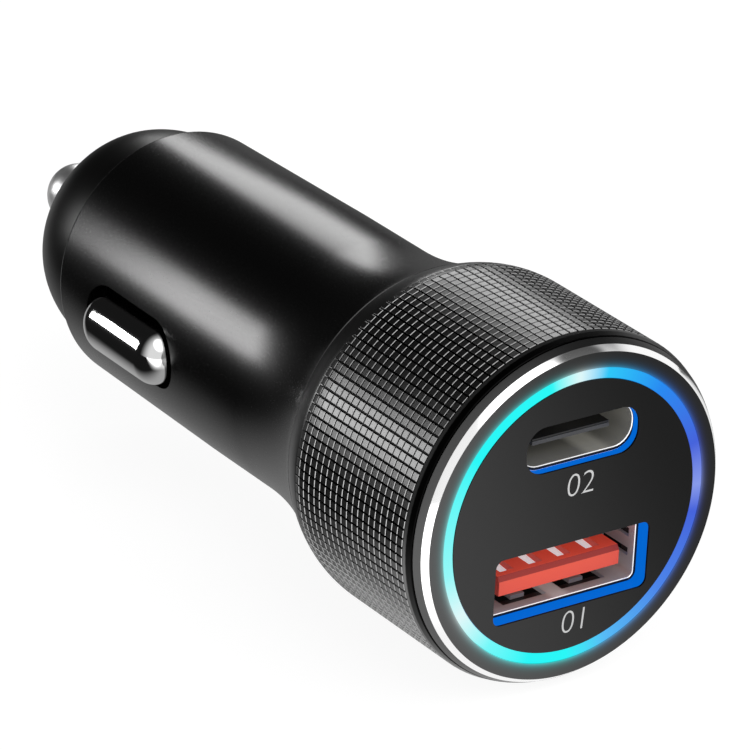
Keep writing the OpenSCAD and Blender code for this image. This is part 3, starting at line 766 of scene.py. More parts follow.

# %% [markdown]
# The port shells' finish
#
# A shell is folded from tinned sheet. A thin bright line is painted on its rounded front edge
# as a highlight, one streak inside is painted lighter as a reflection of the lit side of the
# room, and the very front of the sheet is painted dark as shade. So little light reaches a deep
# port in a render that a faint emission, a painted glow, helps it out.

# %% Shell finishes
SQUARE_RIM_BACK = 1.3
OVAL_RIM_BACK = 0.7
EDGE_HIGHLIGHT_ENDS = (0.11, 0.07)
FRONT_SHADE_ENDS = (0.03, 0.012)
STREAK_CORE = 0.3
SHEET_LIGHT = 0.10
STREAK_LIGHT = 0.55
SHELL_GLOW = 0.6
EDGE_PAINTED_HIGHLIGHT = grey(252)
EDGE_LIGHT = grey(225)
FRONT_PAINTED_SHADE = grey(30)
FRONT_UNLIT = grey(8)
square_rim_y = face_y + SQUARE_RIM_BACK
oval_rim_y = face_y + OVAL_RIM_BACK


def dimmed(colour, share):
    """The same colour with a share of its light."""
    return tuple(share * value for value in colour[:3]) + (1.0,)


def make_port_steel(name, colour, rim_y, painted_streak_x, painted_streak_half):
    """Dull sheet with a faint painted glow, a painted reflection streak, a painted highlight on the
    rounded edge and painted shade on the front.
    """
    material, tree, shader = new_material(name, colour, 0.28, metallic=0.5)
    place = parts_of(tree, coordinate(tree, "Object"))
    behind = math_node(tree, "SUBTRACT", place["Y"], rim_y * MM)
    painted_rim_highlight = mm_range(tree, behind, EDGE_HIGHLIGHT_ENDS)
    front = mm_range(tree, behind, FRONT_SHADE_ENDS)
    aside = math_node(tree, "SUBTRACT", place["X"], painted_streak_x * MM)
    aside = math_node(tree, "ABSOLUTE", aside)
    painted_streak = mm_range(tree, aside, (painted_streak_half, painted_streak_half * STREAK_CORE))
    # Painted highlight on the rim, painted reflection in the streak and painted shade on the front.
    sheet = blend_colour(tree, painted_rim_highlight, colour, EDGE_PAINTED_HIGHLIGHT)
    tree.links.new(blend_colour(tree, front, sheet, FRONT_PAINTED_SHADE), shader.inputs["Base Color"])
    glow = blend_colour(tree, painted_streak, dimmed(colour, SHEET_LIGHT), dimmed(colour, STREAK_LIGHT))
    glow = blend_colour(tree, painted_rim_highlight, glow, EDGE_LIGHT)
    glow = blend_colour(tree, front, glow, FRONT_UNLIT)
    tree.links.new(glow, shader.inputs["Emission Color"])
    shader.inputs["Emission Strength"].default_value = SHELL_GLOW
    return material


tinned = make_port_steel("tinned", srgb(184, 174, 172), square_rim_y, 0.35, 1.1)
tinned_dark = make_port_steel("tinned_dark", srgb(142, 140, 132), oval_rim_y, 2.3, 1.5)

# %% [markdown]
# The orange plastic
#
# The tongue of the square port is orange plastic. Its top gets a painted glow, as if it lay in
# the light, and its sloping front edge gets painted shade; the direction of the surface tells
# the two apart.

# %% Orange finish
ORANGE = srgb(230, 78, 54)
ORANGE_PAINTED_SHADE = srgb(158, 30, 14)
TOP_PAINTED_LIGHT = srgb(120, 30, 14)
TOP_GLOW = 0.8
SLOPE_FROM = (0.3, 0.45)
SLOPE_TO = (0.9, 0.7)
FLAT_TOP = (0.9, 0.97)


def make_orange_finish():
    """Orange plastic with painted shade on the sloping edge and a painted glow on the flat top."""
    material, tree, shader = new_material("orange", ORANGE, 0.42)
    up = parts_of(tree, coordinate(tree, "Normal"))["Z"]
    rising = smooth_range(tree, up, *SLOPE_FROM)
    falling = smooth_range(tree, up, *SLOPE_TO)
    shaded_slope = math_node(tree, "MULTIPLY", rising, falling)
    tree.links.new(blend_colour(tree, shaded_slope, ORANGE, ORANGE_PAINTED_SHADE), shader.inputs["Base Color"])
    # The flat top gets a painted glow.
    top = smooth_range(tree, up, *FLAT_TOP)
    tree.links.new(blend_colour(tree, top, BLACK, TOP_PAINTED_LIGHT), shader.inputs["Emission Color"])
    shader.inputs["Emission Strength"].default_value = TOP_GLOW
    return material


orange = make_orange_finish()
print("finishes so far", len(bpy.data.materials))

# %% [markdown]
# The light guide's finish
#
# The guide is one clear moulding. Its rim shows as the glowing ring, and behind the face its
# edge shows round each port as a blue wall, so the same material has both colours, told
# apart by the distance from the axis.

# %% Light guide
RING_IN_R = 10.45
UNLIT_BLUE = srgb(0, 10, 20)
PORT_WALL_BLUE = srgb(0, 104, 214)
GUIDE_STRENGTH = 0.95
RIM_MARGIN = 0.04


def make_guide_finish():
    material, tree, shader = new_material("light_guide", UNLIT_BLUE, 0.5, ior=1.1)
    ring = use_group(tree, ring_group)
    at_rim = math_node(tree, "GREATER_THAN", ring.outputs["Radius"], RING_IN_R - RIM_MARGIN)
    glow = blend_colour(tree, at_rim, PORT_WALL_BLUE, ring.outputs["Color"])
    tree.links.new(glow, shader.inputs["Emission Color"])
    shader.inputs["Emission Strength"].default_value = GUIDE_STRENGTH
    return material


guide_glow = make_guide_finish()
print("materials", len(bpy.data.materials))

# %% [markdown]
# The body
#
# The body is one moulding: a spigot inside the head, a concave flare and a long barrel with a
# very slight taper. Its outline is spun, and the two slots for the side contacts are cut with
# round-ended prisms that follow the solids.

# %% Round-ended prism for the slots
SLOT_LENGTH = 12.0
SLOT_WIDTH = 5.6
SLOT_Y = 14.4
SLOT_TURN = 4.0


def side_frame(side):
    """Turns the X axis outwards through a slot; side is -1 for the left and 1 for the right."""
    angle = math.radians(180 - SLOT_TURN if side < 0 else -SLOT_TURN)
    return Matrix.Translation((0, SLOT_Y * MM, 0)) @ Matrix.Rotation(angle, 4, "Y")


def obround_ring(bm, half_length, half_width, end, x, steps=20):
    """Closed chain of edges with straight sides and rounded ends, across the X axis."""
    points = []
    for way in (1, -1):
        for i in range(steps + 1):
            a = math.pi * i / steps
            y = way * (half_length - end + end * math.sin(a))
            z = way * half_width * math.cos(a)
            points.append(bm.verts.new((x * MM, y * MM, z * MM)))
    return [bm.edges.new((a, b)) for a, b in zip(points, points[1:] + points[:1])]


def push_faces(bm, vector_mm):
    """Extrudes every face of a flat bmesh along one vector."""
    grown = bmesh.ops.extrude_face_region(bm, geom=list(bm.faces))["geom"]
    moved = [v for v in grown if isinstance(v, bmesh.types.BMVert)]
    bmesh.ops.translate(bm, verts=moved, vec=Vector(vector_mm) * MM)


def slot_prism(length, width, x0, x1):
    """Round-ended prism along X."""
    bm = bmesh.new()
    ring = obround_ring(bm, length / 2, width / 2, width / 2, x0)
    bmesh.ops.contextual_create(bm, geom=ring)
    push_faces(bm, (x1 - x0, 0, 0))
    return bm


# %% [markdown]
# Spinning and cutting
#
# The flare is one arc that is tangent to the straight barrel, as a turned mould would have
# it, so its radius follows from its length and its drop. A Boolean modifier cuts the slots,
# since a spun outline can't hold them.

# %% Spin the body and cut its slots
HEAD_BORE_R = 10.95
BARREL_BORE_R = 8.9
BORE_CONE_START = 0.8
BORE_CONE_END_Y = -1.5
SLEEVE_WALL = 0.85
FLANGE_W = 0.45
EDGE_BREAK = 0.06
BARREL_EDGE_R = 0.35
FLARE_STEPS = 28
CUTTER_LOW = 6.0
CUTTER_HIGH = 13.0
flare_len = -flare_front_y
flare_drop = FLARE_R - BARREL_R
flare_arc_r = (flare_drop ** 2 + flare_len ** 2) / (2 * flare_drop)


def flare_radius(y):
    return BARREL_R + flare_arc_r - math.sqrt(flare_arc_r ** 2 - y ** 2)


def make_body():
    spigot_r = grip_r - SLEEVE_WALL - FIT
    flare_y = flare_front_y + EDGE_BREAK
    tail = (BARREL_TAIL_R - BARREL_EDGE_R, barrel_end_y - BARREL_EDGE_R)
    outline = [(HEAD_BORE_R, shell_low.y), (spigot_r, shell_low.y), (spigot_r, shoulder_y)]
    outline += [(FLARE_R - FLANGE_W, flare_front_y), (FLARE_R - EDGE_BREAK, flare_front_y)]
    outline += [(FLARE_R, flare_y)]
    for i in range(1, FLARE_STEPS + 1):
        y = flare_y * (1 - i / FLARE_STEPS)
        outline.append((flare_radius(y), y))
    outline.append((BARREL_R, STRAIGHT_LEN))
    outline += arc(tail, BARREL_EDGE_R, 0, 90, steps=6)
    outline += [(BARREL_BORE_R, barrel_end_y), (BARREL_BORE_R, BORE_CONE_END_Y)]
    outline += [(HEAD_BORE_R, flare_front_y - BORE_CONE_START)]
    body = lathe(outline)
    tools = []
    for side in (-1, 1):
        tool = slot_prism(SLOT_LENGTH, SLOT_WIDTH, CUTTER_LOW, CUTTER_HIGH)
        bmesh.ops.transform(tool, matrix=side_frame(side), verts=tool.verts)
        tools.append(tool)
    return cut_away(body, tools)


body_shell = finish_piece(
    make_body(), "body_shell", "housing", satin_black, ["barrel_shell"]
)
print("body", len(body_shell.data.polygons), "faces")

# %% [markdown]
# The knurl
#
# The grip is a metal sleeve with a cross-cut knurl: 20 rows of 120 small flat-topped pads. The
# sleeve's outline is spun in 120 steps, so each cell of the knurl is already one face.
# Insetting every knurl face three times makes the floor of the grooves, the steep sides of a
# pad and the bevel round its top, which catches the light. Where the smooth shoulder falls
# away the pads get lower, so the grooves run out as they do on the real sleeve.

# %% Spin the sleeve and raise the pads
KNURL_AROUND = 120
KNURL_ROWS = 20
KNURL_DEPTH = 0.2
KNURL_INSETS = ((0.045, 0.0), (0.045, 0.155), (0.04, 0.045))
ROOT_SLACK = 0.05
RAISED = 0.01
RIM_DROP = 0.2
RIM_TOP_DROP = 0.02
RIM_TOP_LEN = 0.14
SHOULDER_STEPS = 8
SHOULDER_STOP = 0.08
BACK_BREAK = 0.02
BACK_LIP = 0.4
knurl_y = sleeve_front_y + RIM_W
root_r = grip_r - KNURL_DEPTH
run_out = SHOULDER_LEN * math.sqrt(KNURL_DEPTH / (grip_r - FLARE_R))
knurl_end_y = shoulder_y + run_out


def shoulder_radius(y):
    """Outside radius of the sleeve without its knurl."""
    share = max(0.0, (y - shoulder_y) / SHOULDER_LEN)
    return grip_r - (grip_r - FLARE_R) * share ** 2


def sleeve_outline():
    """Outline of the sleeve, with one straight stretch for each row of the knurl."""
    inner_r = grip_r - SLEEVE_WALL
    rim_r = grip_r - RIM_DROP
    pitch = (knurl_end_y - knurl_y) / KNURL_ROWS
    shoulder_pitch = (sleeve_back_y - SHOULDER_STOP - knurl_end_y) / SHOULDER_STEPS
    outline = [(inner_r, sleeve_front_y), (rim_r - EDGE_BREAK, sleeve_front_y)]
    outline += [(rim_r, sleeve_front_y + EDGE_BREAK)]
    outline += [(grip_r - RIM_TOP_DROP, knurl_y - RIM_TOP_LEN), (grip_r, knurl_y - EDGE_BREAK)]
    for row in range(KNURL_ROWS + 1):
        outline.append((root_r, knurl_y + row * pitch))
    for step in range(1, SHOULDER_STEPS + 1):
        y = knurl_end_y + step * shoulder_pitch
        outline.append((shoulder_radius(y), y))
    outline += [(FLARE_R - BACK_BREAK, sleeve_back_y), (FLARE_R - BACK_LIP, sleeve_back_y)]
    outline += [(inner_r, shoulder_y)]
    return outline


def in_knurl(face):
    """True for a face of the outside between the knurl's two ends."""
    centre = face.calc_center_median() / MM
    out = math.hypot(centre.x, centre.z)
    return knurl_y < centre.y < knurl_end_y and out > root_r - ROOT_SLACK


def lower_run_out(bm):
    """Lets the pads sink where the shoulder falls away under them."""
    for vert in bm.verts:
        place = vert.co / MM
        out = math.hypot(place.x, place.z)
        if out > root_r + RAISED and knurl_y < place.y < knurl_end_y:
            share = min(1.0, (shoulder_radius(place.y) - root_r) / KNURL_DEPTH)
            lowered = root_r + (out - root_r) * share
            vert.co.x *= lowered / out
            vert.co.z *= lowered / out


def make_grip():
    bm = lathe(sleeve_outline(), steps=KNURL_AROUND)
    bmesh.ops.recalc_face_normals(bm, faces=bm.faces)
    cells = [face for face in bm.faces if in_knurl(face)]
    for width, rise in KNURL_INSETS:
        bmesh.ops.inset_individual(bm, faces=cells, thickness=width * MM, depth=rise * MM)
    lower_run_out(bm)
    return bm


grip = finish_piece(
    make_grip(), "knurled_grip", "housing", grip_metal, ["grip_sleeve"], sharp_deg=20
)
print("grip", len(grip.data.polygons), "faces")

# %% [markdown]
# The bezel
#
# The bezel closes the head round the light ring: a flat annulus, the bright chamfer, and a
# short dark band that meets the grip sleeve at a fine groove.

# %% Spin the bezel
BAND_R = 13.12
BAND_END = 0.98
BAND_BACK = 1.05
HEAD_GROOVE_R = 12.5


def make_bezel():
    inner_r = ring_out_r + FIT
    back_y = bezel_high.y
    outline = [(inner_r, face_y), (CHAMFER_IN_R, face_y)]
    outline += [(CHAMFER_OUT_R, face_y + CHAMFER_DEPTH), (BAND_R, face_y + BAND_END)]
    outline += [(BAND_R - BACK_BREAK, face_y + BAND_BACK - BACK_BREAK)]
    outline += [(HEAD_GROOVE_R, face_y + BAND_BACK), (HEAD_GROOVE_R, back_y), (inner_r, back_y)]
    return lathe(outline)


bezel = finish_piece(
    make_bezel(), "bezel", "housing", bezel_metal, ["front_bezel"], sharp_deg=12
)
print("bezel", len(bezel.data.polygons), "faces")

# %% [markdown]
# Openings for the ports
#
# Each opening is a rounded rectangle. A single square face with its four corners bevelled
# gives that outline, and extruding it makes a prism that cuts the face plate and the light
# guide behind it.

# %% Rounded prisms
SQUARE_OPENING = {"w": 13.4, "h": 5.15, "x": 0.1, "z": -4.5, "r": 0.65}
OVAL_OPENING = {"w": 9.7, "h": 3.6, "x": 0.3, "z": 5.83, "r": 1.55}
SQUARE_SHELL = {"w": 13.0, "h": 4.75, "x": 0.1, "z": -4.5, "r": 0.45}
OVAL_SHELL = {"w": 9.6, "h": 3.25, "x": 0.3, "z": 5.955, "r": 1.5}
CORNER_SEGMENTS = 8
SMALLEST_CORNER = 0.02
SHELL_SHEET = 0.3


def rounded_prism(port, grow, y0, y1):
    """A rounded rectangle in the XZ plane, pushed along Y."""
    bm = bmesh.new()
    bmesh.ops.create_grid(bm, x_segments=1, y_segments=1, size=0.5)
    width = (port["w"] + 2 * grow) * MM
    height = (port["h"] + 2 * grow) * MM
    bmesh.ops.scale(bm, vec=(width, height, 1), verts=bm.verts)
    bmesh.ops.bevel(
        bm,
        geom=list(bm.verts),
        offset=max(SMALLEST_CORNER, port["r"] + grow) * MM,
        segments=CORNER_SEGMENTS,
        profile=0.5,
        affect="VERTICES",
        material=-1,
    )
    turn = Matrix.Rotation(math.radians(90), 4, "X")
    place = Matrix.Translation((port["x"] * MM, y0 * MM, port["z"] * MM))
    bmesh.ops.transform(bm, matrix=place @ turn, verts=bm.verts)
    push_faces(bm, (0, y1 - y0, 0))
    return bm


def box_prism(x0, x1, y0, y1, z0, z1):
    """A plain box between two corners, as a cutter."""
    bm = bmesh.new()
    bmesh.ops.create_cube(bm, size=1.0)
    size = Vector((x1 - x0, y1 - y0, z1 - z0)) * MM
    middle = Vector((x0 + x1, y0 + y1, z0 + z1)) * MM / 2
    bmesh.ops.scale(bm, vec=size, verts=bm.verts)
    bmesh.ops.translate(bm, vec=middle, verts=bm.verts)
    return bm


# %% [markdown]
# The face plate
#
# The face plate is a thin dark disc with both openings, pressed into the light guide. The
# edges of its openings are broken a little, as on every moulded edge, and only those on its
# front can be seen, so only those are bevelled.

# %% Face plate with both openings
FACE_THICKNESS = 0.15
CUT_PAST = 1
FRONT_SLACK = 0.001
OPENING_BREAK = 0.05


def soften_front(bm, front_y, width_mm, angle_deg, segments):
    """Bevels the edges of a front that are sharper than an angle."""
    limit = math.radians(angle_deg)
    front = (front_y + FRONT_SLACK) * MM
    edges = [e for e in bm.edges if len(e.link_faces) == 2 and e.calc_face_angle(0) > limit]
    edges = [e for e in edges if all(v.co.y < front for v in e.verts)]
    bmesh.ops.bevel(
        bm,
        geom=edges,
        offset=width_mm * MM,
        segments=segments,
        profile=0.5,
        affect="EDGES",
        material=-1,
        clamp_overlap=True,
    )


def make_face():
    back_y = face_y + FACE_THICKNESS
    disc_r = RING_IN_R - FIT
    outline = [(0, face_y), (disc_r, face_y), (disc_r, back_y), (0, back_y)]
    disc = lathe(outline, closed=False)
    tools = []
    for port in (SQUARE_OPENING, OVAL_OPENING):
        tools.append(rounded_prism(port, 0, face_y - CUT_PAST, face_y + CUT_PAST))
    bm = cut_away(disc, tools)
    soften_front(bm, face_y, OPENING_BREAK, angle_deg=60, segments=2)
    return bm


face_disc = finish_piece(
    make_face(), "face_plate_disc", "housing", face_black, ["face_plate"], sharp_deg=20
)
print("face plate", len(face_disc.data.polygons), "faces")

# %% [markdown]
# The light guide
#
# The guide's rim stands a little proud of the face, and its plate lies behind the face. Each
# opening goes through the plate, and from behind a wider pocket takes the port's shell.

# %% Light guide: rim and plate in one
RING_PROUD = 0.02
RING_EDGE_BACK = 0.03


def make_guide():
    front_y = face_y + FACE_THICKNESS
    back_y = guide_high.y
    edge_y = face_y + RING_EDGE_BACK
    top_y = face_y - RING_PROUD
    outline = [(0, front_y), (RING_IN_R, front_y), (RING_IN_R, edge_y)]
    outline += [(RING_IN_R + EDGE_BREAK, top_y), (ring_out_r - EDGE_BREAK, top_y)]
    outline += [(ring_out_r, edge_y), (ring_out_r, back_y), (0, back_y)]
    disc = lathe(outline, closed=False)
    tools = []
    for port in (SQUARE_OPENING, OVAL_OPENING):
        tools.append(rounded_prism(port, 0, face_y - CUT_PAST, back_y + CUT_PAST))
    for shell, rim_y in ((SQUARE_SHELL, square_rim_y), (OVAL_SHELL, oval_rim_y)):
        tools.append(rounded_prism(shell, SHELL_SHEET + FIT, rim_y - FIT, back_y + CUT_PAST))
    return cut_away(disc, tools)


guide = finish_piece(make_guide(), "glow_guide", "housing", guide_glow, ["light_guide"])
print("light guide", len(guide.data.polygons), "faces")

# %% [markdown]
# The port shells
#
# Both ports are folded tubes of thin sheet. The square one has windows in its floor, each
# round a spring that is cut from the sheet, and slots in its side walls. One cut takes a wide
# strip before the spring and two narrow ones beside it, so the spring is what is left.

# %% Shells
SHELL_EDGE = 0.1
WINDOWS = ((-4.13, -0.33), (1.02, 4.82))
WINDOW_BACK = 0.9
WINDOW_LENGTH = 4.2
SPRING_W = 1.2
SPRING_BACK = 0.9
STRIP_OVERLAP = 0.01
SHEET_CUT = 0.5
SIDE_SLOTS = ((0.8, 0.68), (-0.73, 0.62))
SIDE_SLOT_BACK = 0.75
SIDE_SLOT_LENGTH = 3.2
SIDE_SLOT_CUT = 0.8


def make_shell(shell, rim_y, end_y, tools):
    """Tube of thin sheet with a rounded front rim."""
    tube = rounded_prism(shell, SHELL_SHEET, rim_y, end_y)
    hole = rounded_prism(shell, 0, rim_y - CUT_PAST, end_y + CUT_PAST)
    bm = cut_away(tube, [hole] + tools)
    soften_front(bm, rim_y, SHELL_EDGE, angle_deg=50, segments=3)
    return bm


def window_tools():
    """Cutters that leave a spring in the middle of each window in the floor."""
    floor_z = SQUARE_OPENING["z"] - SQUARE_OPENING["h"] / 2
    heights = (floor_z - CUT_PAST, floor_z + SHEET_CUT)
    window_y = square_rim_y + WINDOW_BACK
    spring_y = window_y + SPRING_BACK
    strip = (spring_y - STRIP_OVERLAP, window_y + WINDOW_LENGTH)
    tools = []
    for x0, x1 in WINDOWS:
        middle = (x0 + x1) / 2
        tools.append(box_prism(x0, x1, window_y, spring_y, *heights))
        tools.append(box_prism(x0, middle - SPRING_W / 2, *strip, *heights))
        tools.append(box_prism(middle + SPRING_W / 2, x1, *strip, *heights))
    return tools


def side_slot_tools():
    """Cutters for two slots in each side wall."""
    y0 = square_rim_y + SIDE_SLOT_BACK
    y1 = y0 + SIDE_SLOT_LENGTH
    tools = []
    for z, height in SIDE_SLOTS:
        z0 = SQUARE_OPENING["z"] + z - height / 2
        for side in (-1, 1):
            x = SQUARE_OPENING["x"] + side * SQUARE_OPENING["w"] / 2
            tools.append(box_prism(x - SIDE_SLOT_CUT, x + SIDE_SLOT_CUT, y0, y1, z0, z0 + height))
    return tools


square_shell = finish_piece(
    make_shell(SQUARE_SHELL, square_rim_y, square_shell_end_y, window_tools() + side_slot_tools()),
    "square_port_shell", "housing", tinned, ["usb_a_shell"], sharp_deg=25,
)
oval_shell = finish_piece(
    make_shell(OVAL_SHELL, oval_rim_y, oval_shell_end_y, []),
    "oval_port_shell", "housing", tinned_dark, ["usb_c_shell"], sharp_deg=25,
)
print("shells", len(square_shell.data.polygons), len(oval_shell.data.polygons))

# %% [markdown]
# The orange tongue
#
# The tongue is a block with a sloping front edge on top, and four grooves from above for the
# contacts. Its side outline is one face, which is pushed across the port and then cut. The
# block at the back of the port belongs to the same moulding, so both are one piece.

# %% Tongue of the square port
TONGUE_W = 10.5
TONGUE_T = 1.45
TONGUE_Z = -5.6
BEVEL_HIGH = 0.36
BEVEL_DEEP = 0.24
PAD_COUNT = 4
PAD_W = 1.08
PAD_PITCH = 2.5
PAD_SHIFT = -0.32
NOTCH_DEPTH = 0.6
NOTCH_BACK = 0.76
TONGUE_BACK = 0.15
TONGUE_ROOT = 0.5
INSERT_BACK = 10.5
tongue_y = square_rim_y + TONGUE_BACK
notch_y = tongue_y + NOTCH_BACK
insert_y = face_y + INSERT_BACK


def make_tongue():
    x0 = SQUARE_OPENING["x"] - TONGUE_W / 2
    top = TONGUE_Z + TONGUE_T
    root_y = insert_y + TONGUE_ROOT
    block = bmesh.new()
    side = [(tongue_y, TONGUE_Z), (root_y, TONGUE_Z), (root_y, top)]
    side += [(tongue_y + BEVEL_DEEP, top), (tongue_y, top - BEVEL_HIGH)]
    outline = [block.verts.new((x0 * MM, y * MM, z * MM)) for y, z in side]
    block.faces.new(outline)
    push_faces(block, (TONGUE_W, 0, 0))
    half = PAD_W / 2 + FIT
    heights = (top - NOTCH_DEPTH, top + CUT_PAST)
    tools = []
    first_x = SQUARE_OPENING["x"] + PAD_SHIFT - (PAD_COUNT - 1) / 2 * PAD_PITCH
    for i in range(PAD_COUNT):
        x = first_x + i * PAD_PITCH
        tools.append(box_prism(x - half, x + half, notch_y, insert_y, *heights))
    tongue = cut_away(block, tools)
    rear = rounded_prism(SQUARE_SHELL, -FIT, insert_y, square_shell_end_y)
    joined = bpy.data.meshes.new("rear_block")
    rear.to_mesh(joined)
    rear.free()
    tongue.from_mesh(joined)
    bpy.data.meshes.remove(joined)
    return tongue


tongue = finish_piece(
    make_tongue(), "orange_tongue", "housing", orange, ["usb_a_tongue"], sharp_deg=15
)
print("tongue", len(tongue.data.polygons), "faces")

# %% [markdown]
# The nose
#
# The nose cap is a dome with a flat end, close to a superellipse, and the centre contact is a
# plain pin with a ball end. Both are spun.

# %% Nose cap and centre contact
SEAM = 0.2
CAP_SEAM_R = 9.3
CAP_TIP_R = 4.6
CAP_POWER = 2.25
CAP_STEPS = 24
CAP_BORE_R = 2.65
CAP_BORE_BREAK = 0.13
CAP_BORE_LEN = 3.2
FLANGE_BORE_R = 3.75
FLANGE_R = 3.6
TIP_R = 2.5
TIP_BORE_R = 1.75
TIP_BORE_STOP = 2
flange_y = cap_end_y - CAP_BORE_LEN


def make_cap():
    start_y = barrel_end_y + SEAM
    length = cap_end_y - start_y
    spigot_r = BARREL_BORE_R - FIT
    outline = [(FLANGE_BORE_R, cap_low.y), (spigot_r, cap_low.y), (spigot_r, start_y)]
    for i in range(CAP_STEPS + 1):
        a = math.radians(90 * i / CAP_STEPS)
        r = CAP_TIP_R + (CAP_SEAM_R - CAP_TIP_R) * max(0.0, math.cos(a)) ** (2 / CAP_POWER)
        y = start_y + length * math.sin(a) ** (2 / CAP_POWER)
        outline.append((r, y))
    outline += [(CAP_BORE_R + CAP_BORE_BREAK, cap_end_y), (CAP_BORE_R, cap_end_y - CAP_BORE_BREAK)]
    outline += [(CAP_BORE_R, flange_y), (FLANGE_BORE_R, flange_y)]
    return lathe(outline)


def make_tip():
    bore_end_y = tip_end_y - TIP_R - TIP_BORE_STOP
    outline = [(0, bore_end_y), (TIP_BORE_R, bore_end_y), (TIP_BORE_R, tip_low.y)]
    outline += [(FLANGE_R, tip_low.y), (FLANGE_R, flange_y), (TIP_R, flange_y)]
    outline += arc((0, tip_end_y - TIP_R), TIP_R, 0, 90, steps=14)
    return lathe(outline, closed=False)


nose = finish_piece(make_cap(), "nose", "housing", cap_black, ["nose_cap"])
tip = finish_piece(make_tip(), "tip", "centre_tip", tip_nickel, ["centre_contact"])
print("nose", len(nose.data.polygons), "tip", len(tip.data.polygons))

# %% [markdown]
# The side contacts
#
# Each side contact is a pressed metal pill on a wider flange that keeps it in the barrel. The
# pill is a stack of round-ended outlines that get narrower and shorter towards the top, like
# the height lines of a hill, and the bridge operator joins each to the next.

# %% Pills
PILL_TOP = 12.2
PILL_DOME = 1.85
PILL_LENGTH = 10.4
PILL_AHEAD = 0.4
PILL_WIDTH = 4.5
PILL_END = 2.05
PILL_UPRIGHT = 0.3
DOME_STEPS = 18
LIP = 0.5
LIP_TOP = 8.2
LIP_LOW = 7.41
REACH_SLACK = 1e-6


def make_pill(side):
    bm = bmesh.new()
    lip_length = SLOT_LENGTH / 2 + LIP
    lip_width = SLOT_WIDTH / 2 + LIP
    half_length = PILL_LENGTH / 2
    half_width = PILL_WIDTH / 2
    middle = PILL_TOP - PILL_DOME
    rings = [
        obround_ring(bm, lip_length, lip_width, lip_width, LIP_LOW),
        obround_ring(bm, lip_length, lip_width, lip_width, LIP_TOP),
        obround_ring(bm, half_length, half_width, PILL_END, LIP_TOP),
        obround_ring(bm, half_length, half_width, PILL_END, middle - PILL_UPRIGHT),
    ]
    for i in range(DOME_STEPS):
        a = math.radians(90 * i / DOME_STEPS)
        share = math.cos(a)
        end = PILL_END * share
        length = half_length - PILL_END + end
        rings.append(obround_ring(bm, length, half_width * share, end, middle + PILL_DOME * math.sin(a)))
    for below, above in zip(rings, rings[1:]):
        bmesh.ops.bridge_loops(bm, edges=below + above)
    bmesh.ops.contextual_create(bm, geom=rings[0])
    bmesh.ops.contextual_create(bm, geom=rings[-1])
    ahead = [v for v in bm.verts if math.hypot(v.co.y, v.co.z) < half_length * MM + REACH_SLACK]
    bmesh.ops.translate(bm, verts=ahead, vec=(0, -PILL_AHEAD * MM, 0))
    bmesh.ops.transform(bm, matrix=side_frame(side), verts=bm.verts)
    return bm


for side, word in ((-1, "left"), (1, "right")):
    pill = finish_piece(
        make_pill(side), f"pill_{word}", f"{word}_contact", nickel,
        [f"ground_contact_{word}"], sharp_deg=50,
    )
    print(pill.name, len(pill.data.polygons))

# %% [markdown]
# The springs
#
# A coil spring pushes each contact outwards and gets shorter as its contact is pressed in.
# The spin operator makes a coil when it also moves a little along its axis at each step. The
# springs stand on the body.

# %% Coils
WIRE = 0.45
WIRE_SIDES = 8
COIL_STEPS = 24
SIDE_COIL = {"outside": 3.6, "turns": 4, "seat": 1.75, "length": 5.61}
TIP_COIL = {"outside": 3.1, "turns": 8}


def make_coil(outside, turns, length, place):
    """A wire swept round the X axis, moved to its place."""
    bm = bmesh.new()
    wire_ring = bmesh.ops.create_circle(bm, segments=WIRE_SIDES, radius=WIRE / 2 * MM)["verts"]
    bmesh.ops.translate(bm, verts=wire_ring, vec=(WIRE / 2 * MM, (outside - WIRE) / 2 * MM, 0))
    steps = turns * COIL_STEPS
    bmesh.ops.spin(
        bm,
        geom=list(bm.verts) + list(bm.edges),
        cent=(0, 0, 0),
        axis=(1, 0, 0),
        dvec=((length - WIRE) / steps * MM, 0, 0),
        angle=math.tau * turns,
        steps=steps,
        use_merge=False,
        use_normal_flip=False,
        use_duplicate=False,
    )
    bmesh.ops.holes_fill(bm, edges=list(bm.edges))
    bmesh.ops.transform(bm, matrix=place, verts=bm.verts)
    return bm


for side, word in ((-1, "left"), (1, "right")):
    frame_here = side_frame(side)
    seat = frame_here @ Matrix.Translation((SIDE_COIL["seat"] * MM, 0, 0))
    coil = finish_piece(
        make_coil(SIDE_COIL["outside"], SIDE_COIL["turns"], SIDE_COIL["length"], seat),
        f"coil_{word}", "housing", wire, [f"ground_spring_{word}"], sharp_deg=60,
    )
    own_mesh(coil)
    print(coil.name, len(coil.data.polygons))

spring_low, spring_high = span("centre_spring")
spring_length = spring_high.y - spring_low.y
seat = Matrix.Translation((0, spring_low.y * MM, 0)) @ Matrix.Rotation(math.radians(90), 4, "Z")
coil = finish_piece(
    make_coil(TIP_COIL["outside"], TIP_COIL["turns"], spring_length, seat),
    "coil_centre", "housing", wire, ["centre_spring"], sharp_deg=60,
)
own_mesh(coil)
print(coil.name, len(coil.data.polygons), "length", round(spring_length, 2))

# %% [markdown]
# Finishes of the solids that stay
#
# The boards, the chips and the other parts inside the plug are hardly seen, so they keep the
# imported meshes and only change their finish. A table of names and finishes does it in one loop.

